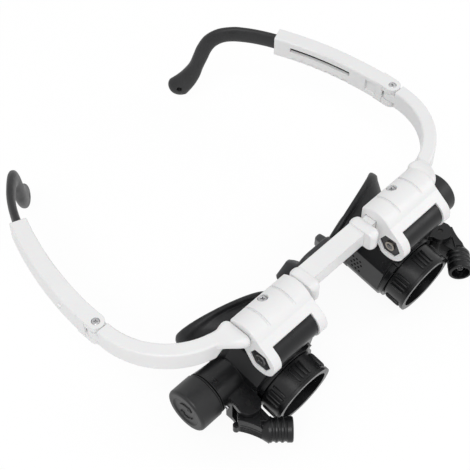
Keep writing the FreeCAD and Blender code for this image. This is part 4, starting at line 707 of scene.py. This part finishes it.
def add_screw(side, kind, finish, body, place, radius, height, shank, length):
    """Screw with a domed head of a radius and height, a cross recess, and a shank of a radius."""
    profile = [(wide * radius, -deep * height) for wide, deep in HEAD_SHARES]
    profile += [(shank, -height), (shank, -length)]
    rings = [circle(place @ move(along=along), reach, count=40) for reach, along in profile]
    screw = add_on_side(side, f"cross_{kind}", [rings], finish, body)
    for angle in RECESS_ANGLES:
        recess = place @ turn(angle, "Y")
        walls = []
        for rise, half_length, half_width in RECESS_SHARES:
            at_wall = recess @ move(along=rise * height)
            walls.append(oval(at_wall, half_length * radius, half_width * radius, count=16, fullness=0.4))
        cut_away(screw, walls, side)
    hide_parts(f"{kind}_{side}")


# lamps

# on the lamp's pin, level with its bulb
LAMP_YAW = 225
LAMP_PLACE = move(LAMP_PIN.x, LAMP_PIN.y, middle("lamp_bulb_left").z) @ turn(LAMP_YAW, "Z")
LAMP_AXIS = LAMP_PLACE @ move(across=6.2, along=6.2) @ turn(-90, "Z")
# reflector cup and chip in the bulb: place along the lamp and radius
CUP_PROFILE = ((1.2, 0.5), (1.3, 0.85), (1.9, 1.2), (3.1, 1.75), (3.15, 1.6), (2.2, 1.05), (2.1, 0.6))
CHIP_PROFILE = ((2.12, 0.42), (2.2, 0.46), (2.35, 0.46), (2.42, 0.4))
# arc of the finger tab seen from above, from start to end in degrees, and the levels of its lines
TAB_CENTRE = (-7.65, 26.48)
TAB_RADIUS = 22
TAB_START = -77
TAB_END = -53
GRIP_LEVELS = (-2.7, -2.1, -1.5, -0.9, -0.3, 0.8)
GRIP_STEPS = 12
GRIP_HALF = 0.17
GRIP_END_SHARE = 0.3


def add_lamp_cup(side):
    """Reflector cup inside the clear dome."""
    rings = [circle(LAMP_AXIS @ move(along=along), radius, count=32) for along, radius in CUP_PROFILE]
    add_on_side(side, "lamp_cup", [rings], finish="steel", body="lamp")


def add_lamp_chip(side):
    """Square chip in the reflector cup."""
    rings = []
    for along, half in CHIP_PROFILE:
        rings.append(oval(LAMP_AXIS @ move(along=along), half, half, count=32, fullness=0.3))
    add_on_side(side, "lamp_chip", [rings], finish="chip", body="lamp")


def add_grip_lines(side):
    """Fine raised lines along the finger tab."""
    lines = []
    for level in GRIP_LEVELS:
        rings = []
        for step in range(GRIP_STEPS + 1):
            angle = between(TAB_START, TAB_END, step / GRIP_STEPS)
            at_tab = LAMP_PLACE @ move(*TAB_CENTRE, level) @ turn(angle, "Z") @ move(TAB_RADIUS)
            share = GRIP_END_SHARE if step in (0, GRIP_STEPS) else 1
            rings.append(circle(at_tab, share * GRIP_HALF, count=10))
        lines.append(rings)
    add_on_side(side, "tab_grip_lines", lines, finish="black", body="lamp")


# small forms of a loupe

RIB_GROUPS = 6
RIBS_IN_GROUP = 4
RIB_PITCH = 8
RIB_LEVEL = 11.25
RIB_HALF_WIDTH = 0.42
RIB_HALF_HEIGHT = 0.62
# rounded rib: place behind the lip and share of its full section
RIB_PROFILE = ((1.9, 0.4), (2.1, 0.85), (2.6, 1), (6.9, 1), (7.3, 0.85), (7.5, 0.4))


def add_grip_ribs(side):
    """Rounded crests on the grip ribs of the lens barrel."""
    ribs = []
    for rib in range(RIB_GROUPS * RIBS_IN_GROUP):
        group, place = divmod(rib, RIBS_IN_GROUP)
        angle = 360 / RIB_GROUPS * group + RIB_PITCH * (place - (RIBS_IN_GROUP - 1) / 2)
        rings = []
        for along, share in RIB_PROFILE:
            at_rib = SIGHT @ turn(angle, "Y") @ move(along=along, up=RIB_LEVEL)
            rings.append(oval(at_rib, share * RIB_HALF_WIDTH, share * RIB_HALF_HEIGHT, count=12))
        ribs.append(rings)
    add_on_side(side, "grip_ribs", ribs, finish="black", body="loupe")


# vents in the nose side: their levels and places behind the lip, every second row set back
VENT_ROWS = (-0.4, 1.3, 3, 4.7)
VENT_COLUMNS = (19, 20.6, 22.2)
VENT_SHIFT = 0.8
VENT_WALL = 13.2
# a vent's disc: reach out of the wall and radius
VENT_PROFILE = ((-0.1, 0.45), (0.01, 0.45), (0.03, 0.36))


def add_vents(side):
    """Vents in the nose side of the loupe body, drawn as thin discs just proud of the wall whose near black
    is painted shade for the dark of their holes.
    """
    vents = []
    for row, level in enumerate(VENT_ROWS):
        for column in VENT_COLUMNS:
            at_vent = SIGHT @ move(-VENT_WALL, column + VENT_SHIFT * (row % 2), level) @ turn(90, "Z")
            rings = [circle(at_vent @ move(along=out), radius, count=16) for out, radius in VENT_PROFILE]
            vents.append(rings)
    add_on_side(side, "vents", vents, finish="hole_shade", body="loupe")


# battery tube, whose Y runs outward from the line of sight
BATTERY_AXIS = SIGHT @ move(along=21.5, up=1.4) @ turn(-90, "Z")
SEAL_PLACE = 24
SEAL_RADIUS = 7.25
SEAL_HALF = 0.42
SEAL_STEPS = 48


def add_seal(side):
    """Seal ring that lies deep in the groove between tube and battery cap."""
    rings = []
    for step in range(SEAL_STEPS):
        at_groove = around(BATTERY_AXIS, 360 * step / SEAL_STEPS, SEAL_PLACE, SEAL_RADIUS)
        rings.append(circle(at_groove, SEAL_HALF, count=12))
    seal = add_on_side(side, "soft_seal", [rings], finish="rubber", body="loupe", closed=True)
    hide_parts(f"cap_seal_{side}")


ARROW_PLACE = 32.8
ARROW_RADIUS = 3
ARROW_HALF = 0.28
ARROW_STARTS = (20, 200)
ARROW_STEP = 8
ARROW_STEPS = 14
# a barb runs back over some steps and away from the arc
BARB_STEPS = 4
BARB_SPREAD = 0.9


def arrow_ring(start, step, spread=0):
    """Section of an arrow's stroke, some steps along its arc from a start in degrees."""
    place = around(BATTERY_AXIS, start + ARROW_STEP * step, ARROW_PLACE, ARROW_RADIUS + spread)
    return circle(place, ARROW_HALF, count=10)


def add_cap_arrows(side):
    """Raised turning arrows in the dish of the battery cap."""
    strokes = []
    for start in ARROW_STARTS:
        strokes.append([arrow_ring(start, step) for step in range(ARROW_STEPS + 1)])
        for spread in (-BARB_SPREAD, BARB_SPREAD):
            tip = arrow_ring(start, ARROW_STEPS)
            tail = arrow_ring(start, ARROW_STEPS - BARB_STEPS, spread)
            strokes.append([tip, tail])
    add_on_side(side, "cap_arrows", strokes, finish="cap", body="cap")


# camera, light and floor

# the camera is in millimetres
CAMERA_AZIMUTH = math.radians(-45.853)
CAMERA_ELEVATION = math.radians(51.66)
CAMERA_DISTANCE = 406.66
CAMERA_TARGET = Vector((-17.18, LOCK_SCREW.y + 25.34, BAR_TOP))
FOCAL_PIXELS = 1254.3
PHOTO_PIXELS = 470
SENSOR = 36

# the lamps and the floor are in metres
WHITE = (1, 1, 1, 1)
AMBIENT_STRENGTH = 0.64
LAMP_TARGET = Vector((0, 0, 0.02))
FLOOR_SIZE = 4
FLOOR_COLOUR = (0.86, 0.86, 0.86, 1)
FLOOR_ROUGHNESS = 0.9
FLOOR_GLOW = 1.02
FLOOR_GLOW_SHARE = 0.9


def look_at(place, target):
    """Rotation of a camera or lamp that points from a place to a target."""
    return (target - place).to_track_quat("-Z", "Y").to_euler()


def add_camera():
    """Camera at the photograph's angle."""
    back = Vector((
        math.sin(CAMERA_AZIMUTH) * math.cos(CAMERA_ELEVATION),
        -math.cos(CAMERA_AZIMUTH) * math.cos(CAMERA_ELEVATION),
        math.sin(CAMERA_ELEVATION),
    ))
    camera = bpy.data.objects.new("camera", bpy.data.cameras.new("camera"))
    camera.data.sensor_width = SENSOR
    camera.data.lens = FOCAL_PIXELS * SENSOR / PHOTO_PIXELS
    camera.data.clip_start = 0.01
    camera.location = (CAMERA_TARGET + back * CAMERA_DISTANCE) * MM
    camera.rotation_euler = look_at(camera.location, CAMERA_TARGET * MM)
    bpy.context.scene.collection.objects.link(camera)
    bpy.context.scene.camera = camera


def add_softbox(name, place, size, power):
    """Square lamp that faces the object."""
    light = bpy.data.lights.new(name, "AREA")
    light.size = size
    light.energy = power
    lamp = bpy.data.objects.new(name, light)
    lamp.location = place
    lamp.rotation_euler = look_at(lamp.location, LAMP_TARGET)
    bpy.context.scene.collection.objects.link(lamp)


def seen_directly(tree):
    """Output that is 1 where the eye, a reflection or glass sees a surface."""
    path = tree.nodes.new("ShaderNodeLightPath")
    total = path.outputs["Is Camera Ray"]
    for name in ("Is Glossy Ray", "Is Transmission Ray"):
        add = tree.nodes.new("ShaderNodeMath")
        add.operation = "MAXIMUM"
        tree.links.new(total, add.inputs[0])
        tree.links.new(path.outputs[name], add.inputs[1])
        total = add.outputs[0]
    return total


def mix_shaders(tree, share, first, second, target):
    """Feed a target with a first shader that gives way to a second one by a share."""
    mix = tree.nodes.new("ShaderNodeMixShader")
    tree.links.new(share, mix.inputs["Fac"])
    tree.links.new(first.outputs[0], mix.inputs[1])
    tree.links.new(second.outputs[0], mix.inputs[2])
    tree.links.new(mix.outputs[0], target.inputs["Surface"])


def add_world():
    """White surroundings to the eye and a softer level as light."""
    world = bpy.data.worlds.new("world")
    bpy.context.scene.world = world
    world.use_nodes = True
    tree = world.node_tree
    ambient = tree.nodes["Background"]
    ambient.inputs["Color"].default_value = WHITE
    ambient.inputs["Strength"].default_value = AMBIENT_STRENGTH
    seen = tree.nodes.new("ShaderNodeBackground")
    seen.inputs["Color"].default_value = WHITE
    seen.inputs["Strength"].default_value = 1
    mix_shaders(tree, seen_directly(tree), ambient, seen, tree.nodes["World Output"])


def floor_white():
    """White paint that mostly glows to the eye, so that only a faint shadow stays."""
    material = bpy.data.materials.new("floor_white")
    material.use_nodes = True
    tree = material.node_tree
    paint = tree.nodes["Principled BSDF"]
    paint.inputs["Base Color"].default_value = FLOOR_COLOUR
    paint.inputs["Roughness"].default_value = FLOOR_ROUGHNESS
    glow = tree.nodes.new("ShaderNodeEmission")
    glow.inputs["Color"].default_value = WHITE
    glow.inputs["Strength"].default_value = FLOOR_GLOW
    share = tree.nodes.new("ShaderNodeMath")
    share.operation = "MULTIPLY"
    share.inputs[1].default_value = FLOOR_GLOW_SHARE
    tree.links.new(seen_directly(tree), share.inputs[0])
    mix_shaders(tree, share.outputs[0], paint, glow, tree.nodes["Material Output"])
    return material


def add_floor():
    """Plain white floor."""
    bpy.ops.mesh.primitive_plane_add(size=FLOOR_SIZE)
    floor = bpy.context.object
    floor.name = "floor"
    floor.data.materials.append(floor_white())


def set_stage():
    """Camera, lights, surroundings and floor."""
    bpy.context.scene.view_settings.view_transform = "Standard"
    add_camera()
    add_world()
    add_floor()
    add_softbox("key", place=(-0.5, -0.35, 0.9), size=0.5, power=4)
    add_softbox("fill", place=(0.6, -0.5, 0.5), size=0.4, power=1.3)


dress_solids()
add_nose_pad()
add_pad_strip()
for side in SIDES:
    add_eyecup(side)
    add_ear_tip(side)
    for screw in SCREWS:
        add_screw(side, **screw)
    add_lamp_cup(side)
    add_lamp_chip(side)
    add_grip_lines(side)
    add_grip_ribs(side)
    add_vents(side)
    add_seal(side)
    add_cap_arrows(side)
set_stage()
